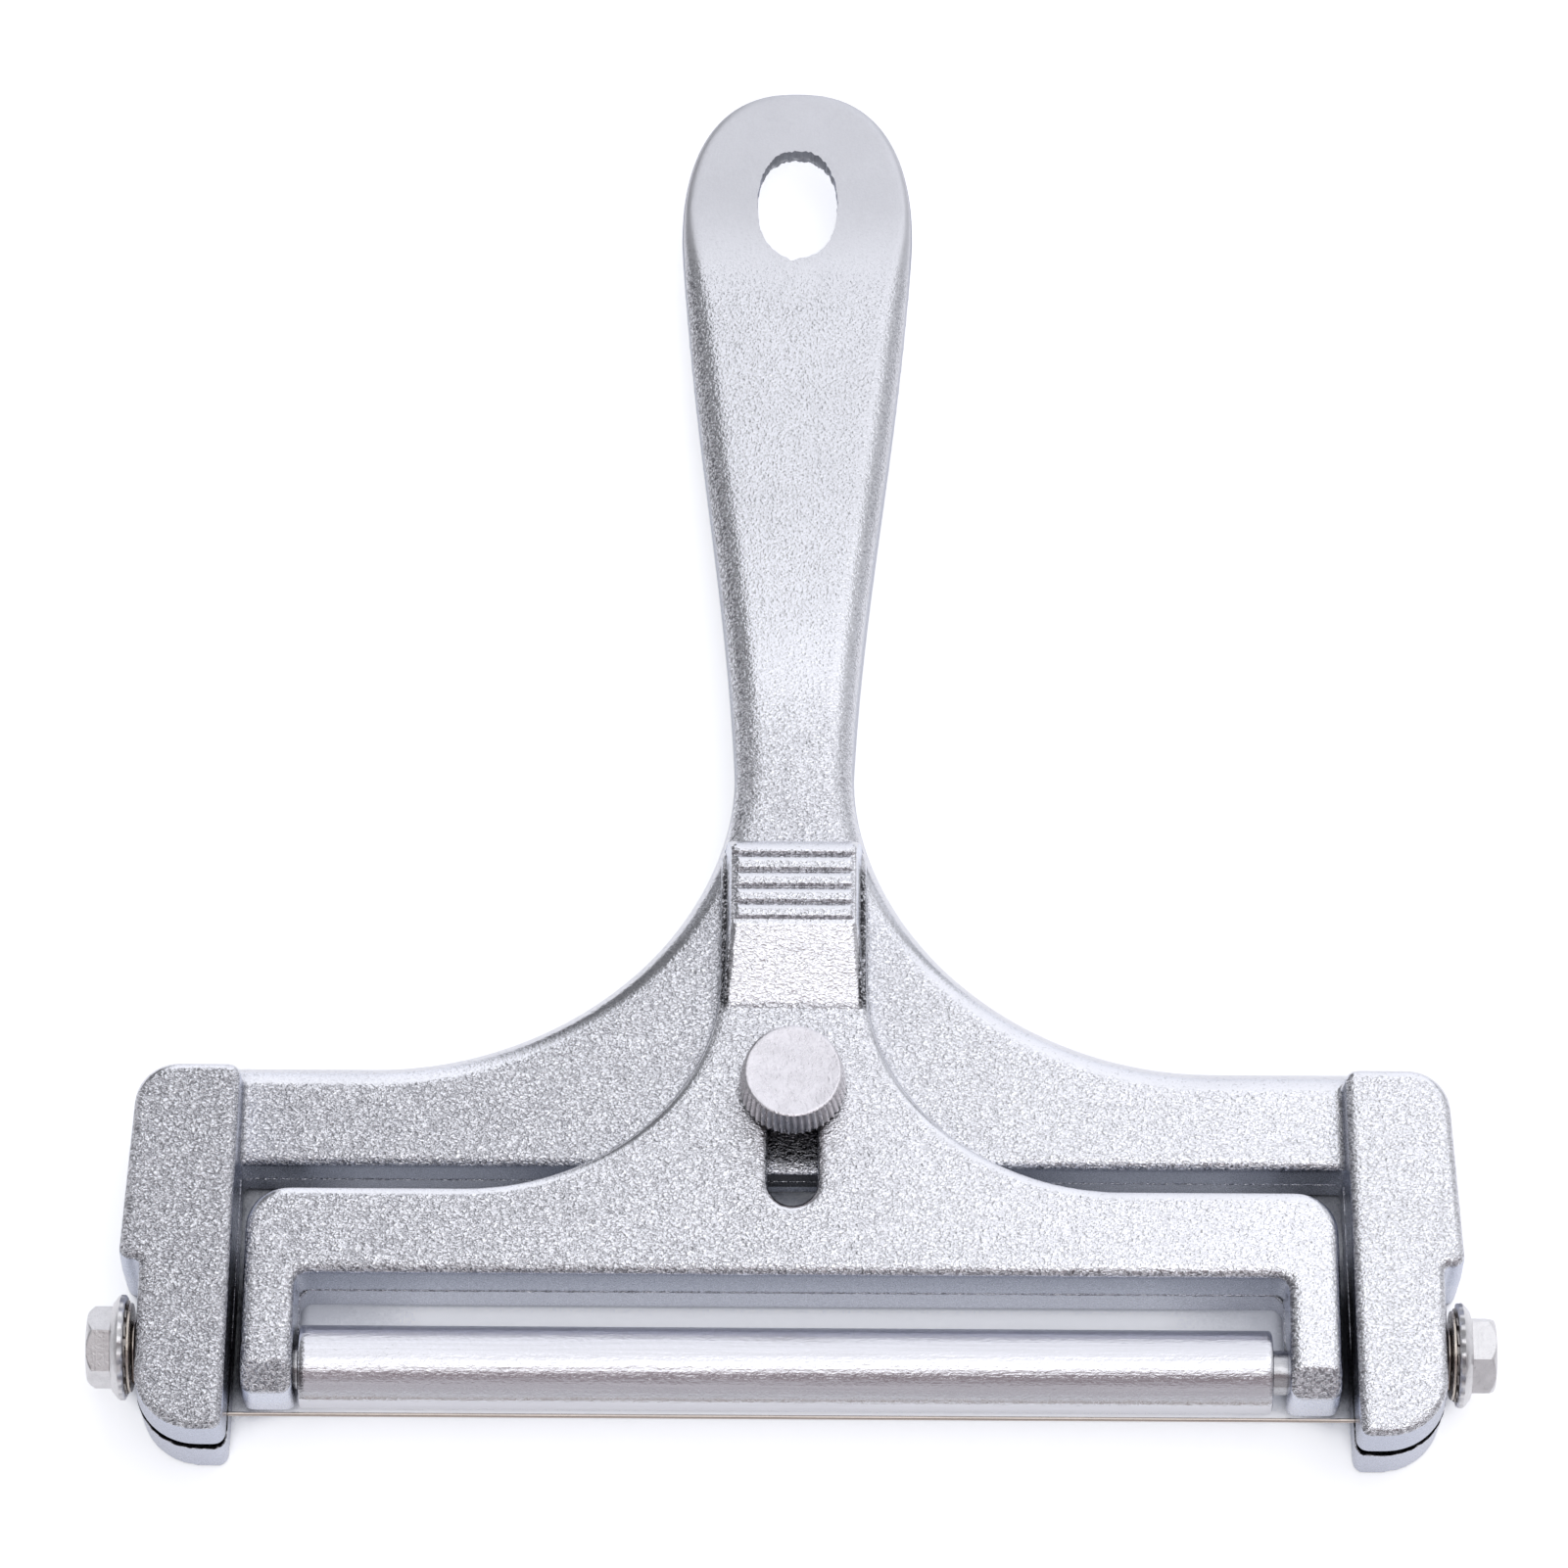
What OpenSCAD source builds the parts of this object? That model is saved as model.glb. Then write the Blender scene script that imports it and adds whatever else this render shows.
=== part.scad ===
// Adjustable wire cheese slicer, lying on its back. X runs along the wire, Y up the handle and Z towards
// the face of the sliding guide. The origin is where the thumb screw's axis meets the back plane, and
// a size called a drop is measured down from that axis, towards the wire.

/* [Handle] */
// Distance from the thumb screw's axis up to the handle's tip
handle_reach = 134.7; // [120:0.1:160]
// Height of the neck's narrowest point above the axis
neck_rise = 41.8; // [40:0.1:54]
// Width of the neck at its narrowest point
neck_w = 14; // [13:0.5:18]
// Greatest width of the handle
head_w = 28; // [24:0.5:34]
// Height of the handle's rounded end
head_h = 21; // [16:0.5:25]
// Thickness of the handle's tip
tip_t = 2.8; // [2.4:0.1:6]
// Rounding of the edges of the handle and the flare
handle_edge_r = 2.5; // [1:0.1:3]
// Width of the hang hole
hang_hole_w = 9.7; // [7:0.1:12]
// Height of the hang hole
hang_hole_h = 15.2; // [10:0.1:18]
// Distance from the handle's tip down to the middle of the hang hole
hang_hole_drop = 16.3; // [13:0.1:20]

/* [Crossbar] */
// Height of the crossbar's upper edge above the axis
bar_up = 4.2; // [2:0.1:6]
// Depth of the crossbar's lower edge below the axis
bar_drop = 8.5; // [7.5:0.1:12]
// Thickness of the crossbar and the neck
bar_t = 8.8; // [8:0.1:11]
// Rounding of the crossbar's lower edges
bar_edge_r = 0.9; // [0.5:0.1:1.5]
// Width of each flare from the neck's side out to the straight crossbar
flare_span = 40.5; // [30:0.5:48]
// Depth of the channel that the guide's tongue slides in
channel_depth = 2.3; // [1.5:0.1:3]

/* [Arms] */
// Distance between the arms' inner walls at their tops
arm_gap = 124.8; // [115:0.1:150]
// Width that each arm gains at its inner wall's top over its lower end
arm_spread = 0.5; // [0:0.1:1]
// Width of each arm at its top
arm_w = 11.9; // [11:0.1:16]
// Height of the arms' tops above the axis
arm_up = 2.5; // [1:0.1:3.5]
// Height by which the arms stand above the guide's face
arm_proud = 1.3; // [0.8:0.1:3]
// Rounding of the arms' shoulders
arm_shoulder_r = 5; // [2:0.1:7]
// Rounding of the arms' lower outer corners
arm_heel_r = 7.1; // [5:0.1:8]
// Distance by which the hook above the bolt stands out past the arm's shoulder
hook_out = 1.35; // [0.8:0.05:2]
// Distance by which the bolt's seat lies inside the arm's shoulder
seat_in = 1.1; // [0.5:0.1:1.5]
// Free height between the bolt's flange and the hook
hook_gap = 2.55; // [1.5:0.05:4]
// Rounding of the edges of the arms' faces
arm_edge_r = 0.8; // [0.4:0.1:1.2]

/* [Cutting wire] */
// Diameter of the wire
wire_d = 0.5; // [0.4:0.05:0.8]
// Height of the wire above the back plane
wire_z = 7; // [6.6:0.1:7.5]
// Free height between the wire and the roller at the thinnest setting
thinnest_slice = 1.05; // [0.6:0.05:3]
// Width of the slit in each arm's end
slit_w = 0.8; // [0.8:0.1:1.2]
// Depth of the slit from the arm's end to the wire's middle
slit_depth = 3.85; // [3:0.05:6]
// Radius of the wire's bend round the slit's root
wire_bend_r = 3.3; // [2:0.1:4]

/* [Tension bolts] */
// Height of the bolts' axis above the wire
bolt_rise = 7.8; // [7.2:0.1:9]
// Diameter of the bolts' threaded holes
bolt_hole_d = 5; // [4:0.1:5.5]
// Diameter of the bolts' flange
flange_d = 11.8; // [11:0.1:12.5]
// Thickness of the flange
flange_t = 1; // [0.8:0.1:1.5]
// Width across the flats of the hexagonal head
hex_af = 8; // [7:0.1:9]
// Height of the hexagonal head
hex_h = 3.3; // [2.5:0.1:5]
// Diameter of the lock washers over their teeth
lock_washer_d = 10.6; // [9.5:0.1:11.5]
// Thickness of the lock washers
lock_washer_t = 0.3; // [0.3:0.05:0.8]
// Diameter of the plain washers
plain_washer_d = 10; // [9:0.1:11]
// Thickness of the plain washers
plain_washer_t = 0.35; // [0.3:0.05:1]

/* [Guide] */
// Thickness of the guide's slotted plate
plate_t = 2.8; // [2:0.1:3.5]
// Distance that the guide slides up from its lowest place
guide_travel = 10; // [6:0.5:10]
// Gap between the guide's sides and the arms
guide_side_gap = 0.8; // [0.5:0.1:1.5]
// Gap between the crossbar's lower edge and the wings' upper edge in the lowest place
wing_gap = 3.4; // [2:0.1:5]
// Rounding of the wings' outer corners
wing_corner_r = 5; // [2:0.1:6]
// Height of the guide's full-depth rail
rail_h = 3.6; // [3:0.1:6]
// Width of each leg
leg_w = 6.15; // [5.5:0.05:8]
// Length of the legs below the roller's axis
leg_tail = 4.3; // [4:0.1:5.5]
// Width and height of the sloped faces at the legs' ends
leg_chamfer = 2.8; // [1:0.1:3]
// Rounding of the guide's edges
guide_edge_r = 0.9; // [0.5:0.1:1.2]
// Width of the guide's upper strip
strip_w = 17; // [16.8:0.1:20]
// Width of each of the guide's flares
guide_flare_w = 28.5; // [22:0.5:34]
// Height at which the guide's flares meet the strip, above the axis
guide_flare_rise = 14; // [10:0.5:18]
// Width of the tongue on the guide's back
tongue_w = 11.6; // [10:0.1:13]
// Height of the tongue's upper end above the axis
tongue_rise = 8; // [6:0.5:9]
// Width of the slot for the thumb screw
slot_w = 5.7; // [5.5:0.1:6.5]

/* [Thumb tab] */
// Height of the tab above the guide's face
tab_h = 3.8; // [2.5:0.1:5]
// Width of the tab's foot
tab_foot_w = 16.2; // [15:0.1:16.4]
// Width of the tab's crest
tab_crest_w = 14.3; // [12:0.1:14.8]
// Length of the ramp
ramp_len = 8.7; // [6:0.1:10]
// Number of grip ribs
rib_count = 5; // [3:1:6]
// Distance from one rib to the next
rib_pitch = 2.05; // [1.5:0.05:2.3]
// Depth of the grooves between the ribs
rib_depth = 0.45; // [0.2:0.05:0.8]
// Rounding of the tab's upper end
tab_end_r = 2; // [1.2:0.1:2.4]

/* [Roller] */
// Diameter of the roller
roller_d = 9.45; // [8.5:0.05:9.8]
// Clear height between the rail and the roller
window_h = 4.5; // [4.3:0.1:8]
// Height of the roller's underside above the back plane
roller_lift = 1.1; // [0.8:0.1:1.6]
// Sum of the gaps at the roller's two ends
roller_float = 2; // [1:0.1:3]
// Gap at the roller's left end as it rests
roller_left_gap = 0.35; // [0.3:0.05:0.5]
// Diameter of the axle
axle_d = 5; // [4:0.1:5.6]

/* [Thumb screw] */
// Diameter of the knurled head
knob_d = 12.2; // [11:0.1:14]
// Height of the knurled head
knob_h = 4.6; // [3.5:0.1:7]
// Diameter of the head's flat face
knob_face_d = 10.75; // [9:0.05:10.8]
// Number of flutes in the knurl
flute_count = 46; // [36:1:52]
// Depth of the flutes
flute_depth = 0.35; // [0.2:0.05:0.5]
// Diameter of the threaded hole in the frame
screw_hole_d = 5; // [4:0.1:5.1]
// Diameter of the washer under the head
knob_washer_d = 10.4; // [9:0.1:10.8]
// Thickness of the washer under the head
knob_washer_t = 0.6; // [0.4:0.1:1]

/* [Hidden] */

// Clearances and small sizes that several pieces share
slide_gap = 0.1;
tongue_gap = 0.2;
stop_gap = 0.4;
thread_gap = 0.05;
axle_gap = 0.02;
roller_gap = 0.08;
washer_gap = 0.15;
wire_seat_gap = 0.05;
hole_skin = 1;
tip_gap = 0.5;
draft = 0.15;
guide_lift = 0.4;
small_chamfer = 0.3;
overrun = 1;
sink = 0.5;

// Heights above the back plane
back_cut = -overrun;
plate_back_z = bar_t + slide_gap;
face_z = plate_back_z + plate_t;
arm_t = face_z + arm_proud;
channel_z = bar_t - channel_depth;
roller_z = roller_lift + roller_d / 2;

// Places down from the axis, each hung from the one above it
wing_drop = bar_drop + wing_gap;
rail_top_drop = bar_drop + guide_travel + stop_gap;
rail_drop = rail_top_drop + rail_h;
roller_drop = rail_drop + window_h + roller_d / 2;
leg_drop = roller_drop + leg_tail;
wire_drop = roller_drop + roller_d / 2 + thinnest_slice + wire_d / 2;
bolt_drop = wire_drop - bolt_rise;
arm_drop = wire_drop + slit_depth;
hook_drop = bolt_drop - flange_d / 2 - hook_gap;

// Places out from the axis
arm_in = arm_gap / 2;
shoulder_x = arm_in + arm_w;
seat_x = shoulder_x - seat_in;
guide_out = arm_in - guide_side_gap;
leg_in = guide_out - leg_w;

// Shape numbers of the rounded outlines
flare_power = 1.96;
head_power = 2.4;
hole_power = 2.25;
flare_steps = 14;
handle_steps = 14;
head_steps = 12;
corner_steps = 5;
round_steps = 3;
hole_steps = 12;

function unit(v) = v / norm(v);

// Outward normal of the edge from a to b of an outline that runs anticlockwise
function outward(a, b) = let (u = unit(b - a)) [u[1], -u[0]];

// Outline moved inwards, by one distance or by a list with one distance for each point
function inset(pts, d) =
    let (n = len(pts))
    [for (i = [0:n - 1])
        let (a = outward(pts[(i + n - 1) % n], pts[i]))
        let (b = outward(pts[i], pts[(i + 1) % n]))
        pts[i] - (a + b) / (1 + a * b) * (is_num(d) ? d : d[i])];

// Points of one rounded corner between the points before and after it
function corner(before, p, after, r, steps) =
    r == 0 ? [p] :
    let (u = unit(before - p))
    let (v = unit(after - p))
    let (half = acos(u * v) / 2)
    let (c = p + unit(u + v) * r / sin(half))
    let (s = p + u * r / tan(half) - c)
    let (e = p + v * r / tan(half) - c)
    let (turn = (s[0] * e[1] - s[1] * e[0] > 0 ? 1 : -1) * (180 - 2 * half))
    [for (k = [0:steps])
        let (a = turn * k / steps)
        c + [s[0] * cos(a) - s[1] * sin(a), s[0] * sin(a) + s[1] * cos(a)]];

// Outline through a list of [x, y, corner radius]
function rounded(list, steps = corner_steps) =
    let (n = len(list))
    let (xy = [for (p = list) [p[0], p[1]]])
    [for (i = [0:n - 1])
        each corner(xy[(i + n - 1) % n], xy[i], xy[(i + 1) % n], list[i][2], steps)];

// Quarter of a superellipse with half-widths a and b, between two angles
function quarter(a, b, power, from, to, steps) =
    [for (k = [0:steps])
        let (t = from + (to - from) * k / steps)
        [a * pow(cos(t), 2 / power), b * pow(sin(t), 2 / power)]];

// Solid through a stack of rings that all have n points
module loft(rings, bottom, top) {
    n = len(rings[0]);
    last = (len(rings) - 1) * n;
    sides = [for (j = [0:len(rings) - 2])
        for (i = [0:n - 1])
            let (a = j * n + i)
            let (b = j * n + (i + 1) % n)
            each [[a, a + n, b + n], [a, b + n, b]]];
    polyhedron(points = [for (r = rings) each r],
        faces = concat(bottom, sides, [for (f = top) [for (i = [len(f) - 1:-1:0]) f[i] + last]]));
}

// Slab that reaches past the whole object in X and Y
module slab(low, high) {
    translate([-handle_reach, -handle_reach, low])
        cube([2 * handle_reach, 3 * handle_reach, high - low]);
}

// Plate on a flat outline, with a rounded front edge and a draft to both sides of its parting
module plate(outline, low, high, edge_r, parting) {
    step = 90 / round_steps;
    levels = concat(
        [[low - overrun, draft], [parting, 0]],
        [for (t = [90:-step:step]) [high - edge_r * (1 - cos(t)), draft + edge_r * (1 - sin(t))]],
        [[high + edge_r * tan(step / 2) / 4, draft + edge_r * 5 / 4]]);
    cap = [[for (i = [0:len(outline) - 1]) i]];
    difference() {
        loft([for (v = levels) [for (p = inset(outline, v[1])) [p[0], p[1], v[0]]]], cap, cap);
        slab(high, high + overrun);
        slab(low - 2 * overrun, low);
    }
}

// Points of a list in reverse order, mirrored to the left
function mirrored(list) =
    [for (i = [len(list) - 1:-1:0]) [for (k = [0:len(list[i]) - 1]) (k == 0 ? -1 : 1) * list[i][k]]];

// The frame

flare_x = neck_w / 2 + flare_span;
head_y = handle_reach - head_h;
bar_end_x = arm_in + arm_w / 2;
bar_end_fall = 0.1;

// Share of the handle's growth in width at a share of its length
function growth_share(t) = (t + (1 - cos(180 * t)) / 2) / 2;

function handle_half_w(t) = neck_w / 2 + (head_w - neck_w) / 2 * growth_share(t);

// Half thickness of the handle at the height y
function half_t(y) =
    let (t = max(0, (y - neck_rise) / (handle_reach - neck_rise)))
    (bar_t + (tip_t - bar_t) * t) / 2;

spine_half = concat(
    [[bar_end_x, -bar_drop], [bar_end_x, bar_up - bar_end_fall]],
    [for (p = quarter(flare_span, neck_rise - bar_up, flare_power, 90, 0, flare_steps))
        [flare_x - p[0], neck_rise - p[1]]],
    [for (k = [1:handle_steps])
        [handle_half_w(k / handle_steps), neck_rise + (head_y - neck_rise) * k / handle_steps]],
    [for (p = quarter(head_w / 2, head_h, head_power, 0, 84, head_steps))
        if (p[1] > 0) [p[0], head_y + p[1]]]);

// Levels of the spine as [side of the parting, fall share, inset share, draft share]
function spine_side(side) =
    [for (k = [0:round_steps]) let (t = 90 * k / round_steps) [side, 1 - cos(t), 1 - sin(t), 1]];
spine_levels = concat(
    spine_side(-1),
    [[0, 0, 0, 0]],
    [for (k = [round_steps:-1:0]) spine_side(1)[k]]);

module spine() {
    outline = concat(spine_half, mirrored(spine_half));
    m = len(spine_half);
    edge = [for (p = outline)
        p[1] < 0 ? bar_edge_r : min(handle_edge_r, half_t(p[1]) - draft)];
    rings = [for (v = spine_levels)
        let (d = [for (r = edge) draft * v[3] + r * v[2]])
        let (q = inset(outline, d))
        [for (i = [0:len(q) - 1])
            let (y = outline[i][1])
            let (z = bar_t / 2 + v[0] * (half_t(y) - edge[i] * v[1]))
            [q[i][0], q[i][1], z]]];
    rungs = [for (i = [0:m - 2]) [i, i + 1, 2 * m - 2 - i, 2 * m - 1 - i]];
    loft(rings, rungs, rungs);
}

// The arms
arm_foot_in = arm_in + arm_spread;
arm_toe_r = arm_edge_r * 5 / 4 + 2 * draft;
hook_r = arm_toe_r;
notch_r = 0.5;
arm_brow_r = 1.5;

arm_outline = rounded([
    [arm_foot_in, -arm_drop, arm_toe_r],
    [seat_x, -arm_drop, arm_heel_r],
    [seat_x, -hook_drop, notch_r],
    [shoulder_x + hook_out, -hook_drop, hook_r],
    [shoulder_x, arm_up, arm_shoulder_r],
    [arm_in, arm_up, arm_brow_r]]);

module arm() {
    plate(arm_outline, back_cut, arm_t, arm_edge_r, arm_t / 2);
}

// The wire's middle line on the right side: along the slit, up round its root, out past the seat and
// round the bolt
bend_turn = 45;
bend_steps = 4;
loop_sweep = 285;
loop_steps = 18;
exit_share = 1.35;
loop_r = bolt_hole_d / 2 + wire_d / 2 + washer_gap;
loop_x = seat_x + wire_d / 2 + wire_seat_gap;
exit_y = -bolt_drop - exit_share * loop_r;
loop_start = acos(1 / exit_share);
bend_y = -wire_drop + wire_bend_r;
bend_x = loop_x - exit_y - wire_drop - wire_bend_r * (1 / cos(bend_turn) - 1);

// Bend of the wire, or of a line inside it, round the slit's root
function wire_bend(r) =
    [for (k = [0:bend_steps])
        let (t = bend_turn * k / bend_steps - 90)
        [bend_x + r * cos(t), bend_y + r * sin(t)]];

// Region of the slit, from its root out past the arm's end and side
root_gap = wire_d / 2 + wire_seat_gap;
root_bend = wire_bend(wire_bend_r - root_gap);
root_run = shoulder_x + overrun - root_bend[bend_steps][0];
slit_region = concat(
    [[arm_in - overrun, -arm_drop - overrun], [shoulder_x + overrun, -arm_drop - overrun],
     root_bend[bend_steps] + [root_run, root_run]],
    [for (k = [bend_steps:-1:0]) root_bend[k]],
    [[arm_in - overrun, -wire_drop + root_gap]]);

module slit() {
    translate([0, 0, wire_z - slit_w / 2])
        linear_extrude(height = slit_w)
            polygon(slit_region);
}

bolt_hole_depth = seat_x - arm_foot_in - hole_skin;

module bolt_hole() {
    translate([seat_x - bolt_hole_depth, -bolt_drop, wire_z])
        rotate([0, 90, 0])
            cylinder(h = bolt_hole_depth + arm_w, d = bolt_hole_d, $fn = 48);
}

channel_w = tongue_w + 2 * tongue_gap;
channel_rise = tongue_rise + guide_travel + overrun;

module channel() {
    translate([-channel_w / 2, -bar_drop - overrun, channel_z])
        cube([channel_w, bar_drop + overrun + channel_rise, bar_t]);
}

module hang_hole() {
    upper = quarter(hang_hole_w / 2, hang_hole_h / 2, hole_power, 0, 90, hole_steps);
    right = concat([for (i = [hole_steps:-1:1]) [upper[i][0], -upper[i][1]]], upper);
    left = [for (i = [2 * hole_steps - 1:-1:1]) [-right[i][0], right[i][1]]];
    translate([0, handle_reach - hang_hole_drop, back_cut])
        linear_extrude(height = bar_t + 2 * overrun)
            polygon(concat(right, left));
}

module frame_casting() {
    color("silver")
    difference() {
        union() {
            spine();
            arm();
            mirror([1, 0, 0]) arm();
        }
        for (side = [0, 1]) {
            mirror([side, 0, 0]) slit();
            mirror([side, 0, 0]) bolt_hole();
        }
        channel();
        hang_hole();
        translate([0, 0, hole_skin])
            cylinder(h = bar_t, d = screw_hole_d, $fn = 48);
        slab(2 * back_cut, 0);
    }
}

// The guide

strip_x = strip_w / 2;
guide_flare_x = strip_x + guide_flare_w;
ramp_gap = 3.7;
ledge = 0.5;
end_share = 0.45;
ramp_y = knob_d / 2 + ramp_gap;
rib_y = ramp_y + ramp_len;
crest_y = rib_y + (rib_count - end_share) * rib_pitch;
tab_end_y = crest_y + tab_end_r;
strip_rise = tab_end_y + ledge;
inner_corner_r = 1.2;
leg_corner_r = guide_edge_r * 5 / 4 + 2 * draft;
strip_corner_r = leg_corner_r;

// Corners of the guide's right half, from the rail's lower edge up
leg_corners = [[leg_in, -rail_drop, inner_corner_r], [leg_in, -leg_drop, leg_corner_r],
    [guide_out, -leg_drop, leg_corner_r]];

flare_corners = [for (p = quarter(guide_flare_w, guide_flare_rise + wing_drop, 2, 90, 0, flare_steps))
    [guide_flare_x - p[0], guide_flare_rise - p[1], 0]];

guide_half = concat(
    leg_corners,
    [[guide_out, -wing_drop, wing_corner_r]],
    flare_corners,
    [[strip_x, strip_rise, strip_corner_r]]);

module guide_body() {
    difference() {
        plate(rounded(concat(guide_half, mirrored(guide_half))),
            guide_lift, face_z, guide_edge_r, face_z / 2);
        translate([-2 * guide_out, -rail_top_drop, 2 * back_cut])
            cube([4 * guide_out, rail_top_drop + 2 * strip_rise, plate_back_z - 2 * back_cut]);
    }
}

module tongue() {
    translate([-tongue_w / 2, -rail_top_drop - sink, channel_z + tongue_gap])
        cube([tongue_w, rail_top_drop + sink + tongue_rise, channel_depth + sink]);
}

// Rib outline as [share of the pitch, share of the groove's depth]
rib_shares = [[0, 0], [0.2, 1], [0.38, 1], [0.51, 0]];

// Height of the tab along its length as [y, z]
crest_z = face_z + tab_h;
foot_fall = tab_h / ramp_len * sink;
tab_profile = concat(
    [[ramp_y - sink, face_z - foot_fall], [rib_y - sink, crest_z - foot_fall]],
    [for (i = [0:rib_count - 1])
        for (s = rib_shares)
            [rib_y + (i + s[0]) * rib_pitch, crest_z - rib_depth * s[1]]],
    [for (k = [0:corner_steps])
        let (t = 80 * k / corner_steps)
        [crest_y + tab_end_r * sin(t), crest_z - tab_end_r * (1 - cos(t))]],
    [[tab_end_y, face_z - foot_fall]]);

// Half-width of the tab at the height z
function tab_half_w(z) =
    (tab_foot_w + (tab_crest_w - tab_foot_w) * max(0, z - face_z) / tab_h) / 2;

// Cross-section of the tab at one place along its length
function tab_ring(y, z) =
    let (low = plate_back_z + sink)
    let (w = tab_half_w(z))
    let (f = tab_foot_w / 2)
    let (r = min(guide_edge_r, (z - low) / 4))
    [for (p = rounded([[-f, low, 0], [f, low, 0], [w, z, r], [-w, z, r]])) [p[0], y, p[1]]];

module tab() {
    rings = [for (i = [len(tab_profile) - 1:-1:0]) tab_ring(tab_profile[i][0], tab_profile[i][1])];
    cap = [[for (i = [0:len(rings[0]) - 1]) i]];
    loft(rings, cap, cap);
}

slot_spare = 1.2;
slot_low = guide_travel + slot_spare;
slot_high = 0.3;

// Depth and width of the steps in the slot's rim
rim_steps = [[0.4, 0.2], [0.15, 0.5]];

// Round-ended slot, widened by a margin
module slot_shape(margin) {
    w = slot_w + 2 * margin;
    translate([-w / 2, -slot_low])
        square([w, slot_low + slot_high]);
    for (y = [-slot_low, slot_high])
        translate([0, y])
            circle(d = w, $fn = 48);
}

module slot_cut() {
    translate([0, 0, channel_z - overrun])
        linear_extrude(height = face_z)
            slot_shape(0);
    for (s = rim_steps)
        translate([0, 0, face_z - s[0]])
            linear_extrude(height = face_z)
                slot_shape(s[1]);
}

// Sloped faces at the legs' ends, front and back
module leg_end_cuts() {
    for (front = [0, 1])
        translate([-2 * guide_out, -leg_drop, front * face_z + (1 - front) * guide_lift])
            mirror([0, 0, front])
                rotate([90, 0, 90])
                    linear_extrude(height = 4 * guide_out)
                        polygon([[-overrun, leg_chamfer + overrun], [leg_chamfer + overrun, -overrun],
                                 [-overrun, -overrun]]);
}

module axle_bores() {
    translate([-2 * guide_out, -roller_drop, roller_z])
        rotate([0, 90, 0])
            cylinder(h = 4 * guide_out, d = axle_d + 2 * axle_gap, $fn = 48);
}

module guide_casting() {
    color("gainsboro")
    difference() {
        union() {
            guide_body();
            tongue();
            tab();
        }
        slot_cut();
        leg_end_cuts();
        axle_bores();
    }
}

// The roller and its axle

module roller_tube() {
    length = 2 * leg_in - roller_float;
    bore_r = axle_d / 2 + roller_gap;
    color("whitesmoke")
    translate([-leg_in + roller_left_gap, -roller_drop, roller_z])
        rotate([0, 90, 0])
            rotate_extrude($fn = 64)
                polygon([[bore_r, 0], [roller_d / 2 - small_chamfer, 0], [roller_d / 2, small_chamfer],
                         [roller_d / 2, length - small_chamfer], [roller_d / 2 - small_chamfer, length],
                         [bore_r, length]]);
}

module roller_axle() {
    half = guide_out - small_chamfer;
    color("gray")
    translate([-half, -roller_drop, roller_z])
        rotate([0, 90, 0])
            cylinder(h = 2 * half, d = axle_d, $fn = 48);
}

// The thumb screw

knob_z = face_z + knob_washer_t;
screw_d = screw_hole_d - 2 * thread_gap;

// Flute outline as [share of the pitch, share of the flute depth]
flute_shares = [[-0.25, 0], [0.05, 0], [0.25, 1], [0.55, 1]];

module knob_outline() {
    pitch = 360 / flute_count;
    polygon([for (i = [0:flute_count - 1])
        for (s = flute_shares)
            (knob_d / 2 - flute_depth * s[1]) * [cos((i + s[0]) * pitch), sin((i + s[0]) * pitch)]]);
}

module thumb_screw() {
    bevel = (knob_d - knob_face_d) / 2;
    color("lightgray")
    union() {
        intersection() {
            translate([0, 0, knob_z])
                linear_extrude(height = knob_h)
                    knob_outline();
            translate([0, 0, knob_z])
                rotate_extrude($fn = 96)
                    polygon([[0, 0], [knob_d / 2 - small_chamfer, 0], [knob_d / 2, small_chamfer],
                             [knob_d / 2, knob_h - bevel], [knob_face_d / 2, knob_h], [0, knob_h]]);
        }
        translate([0, 0, hole_skin + tip_gap])
            cylinder(h = knob_z - hole_skin, d = screw_d, $fn = 48);
    }
}

module washer(d, hole_d, t) {
    rotate_extrude($fn = 64)
        translate([hole_d / 2, 0])
            square([(d - hole_d) / 2, t]);
}

module thumb_washer() {
    color("silver")
    translate([0, 0, face_z])
        washer(knob_washer_d, screw_hole_d + 2 * washer_gap, knob_washer_t);
}

// The cutting wire

wire_sides = 8;

wire_half = concat(
    [[0, -wire_drop, wire_z]],
    [for (p = wire_bend(wire_bend_r)) [p[0], p[1], wire_z]],
    [[loop_x, exit_y, wire_z]],
    [for (k = [0:loop_steps])
        let (t = loop_start + (loop_sweep - loop_start) * k / loop_steps)
        [loop_x, -bolt_drop - loop_r * cos(t), wire_z + loop_r * sin(t)]]);

wire_path = concat(mirrored(wire_half), [for (i = [1:len(wire_half) - 1]) wire_half[i]]);

module tube_along(path, r, sides) {
    n = len(path);
    t = [for (i = [0:n - 1]) unit(path[min(i + 1, n - 1)] - path[max(i - 1, 0)])];
    side = [for (i = 0, v = cross(t[0], [1, 0, 0]); i < n;
        i = i + 1, v = i < n ? v - t[i] * (v * t[i]) : v) unit(v)];
    rings = [for (i = [0:n - 1])
        [for (k = [0:sides - 1])
            let (a = 360 * k / sides)
            path[i] + r * (cos(a) * side[i] + sin(a) * cross(t[i], side[i]))]];
    cap = [[for (i = [0:sides - 1]) i]];
    loft(rings, cap, cap);
}

module cutting_wire() {
    color("dimgray")
    tube_along(wire_path, wire_d / 2, wire_sides);
}

// The tension bolts and their washers, modelled on the right and mirrored to the left

plain_washer_x = seat_x + wire_d + 2 * wire_seat_gap;
lock_washer_x = plain_washer_x + plain_washer_t;
flange_x = lock_washer_x + lock_washer_t;
hex_x = flange_x + flange_t;
bolt_d = bolt_hole_d - 2 * thread_gap;
bolt_length = flange_x - seat_x + bolt_hole_depth - tip_gap;

module on_bolt_axis(x) {
    translate([x, -bolt_drop, wire_z])
        rotate([0, 90, 0])
            children();
}

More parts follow.
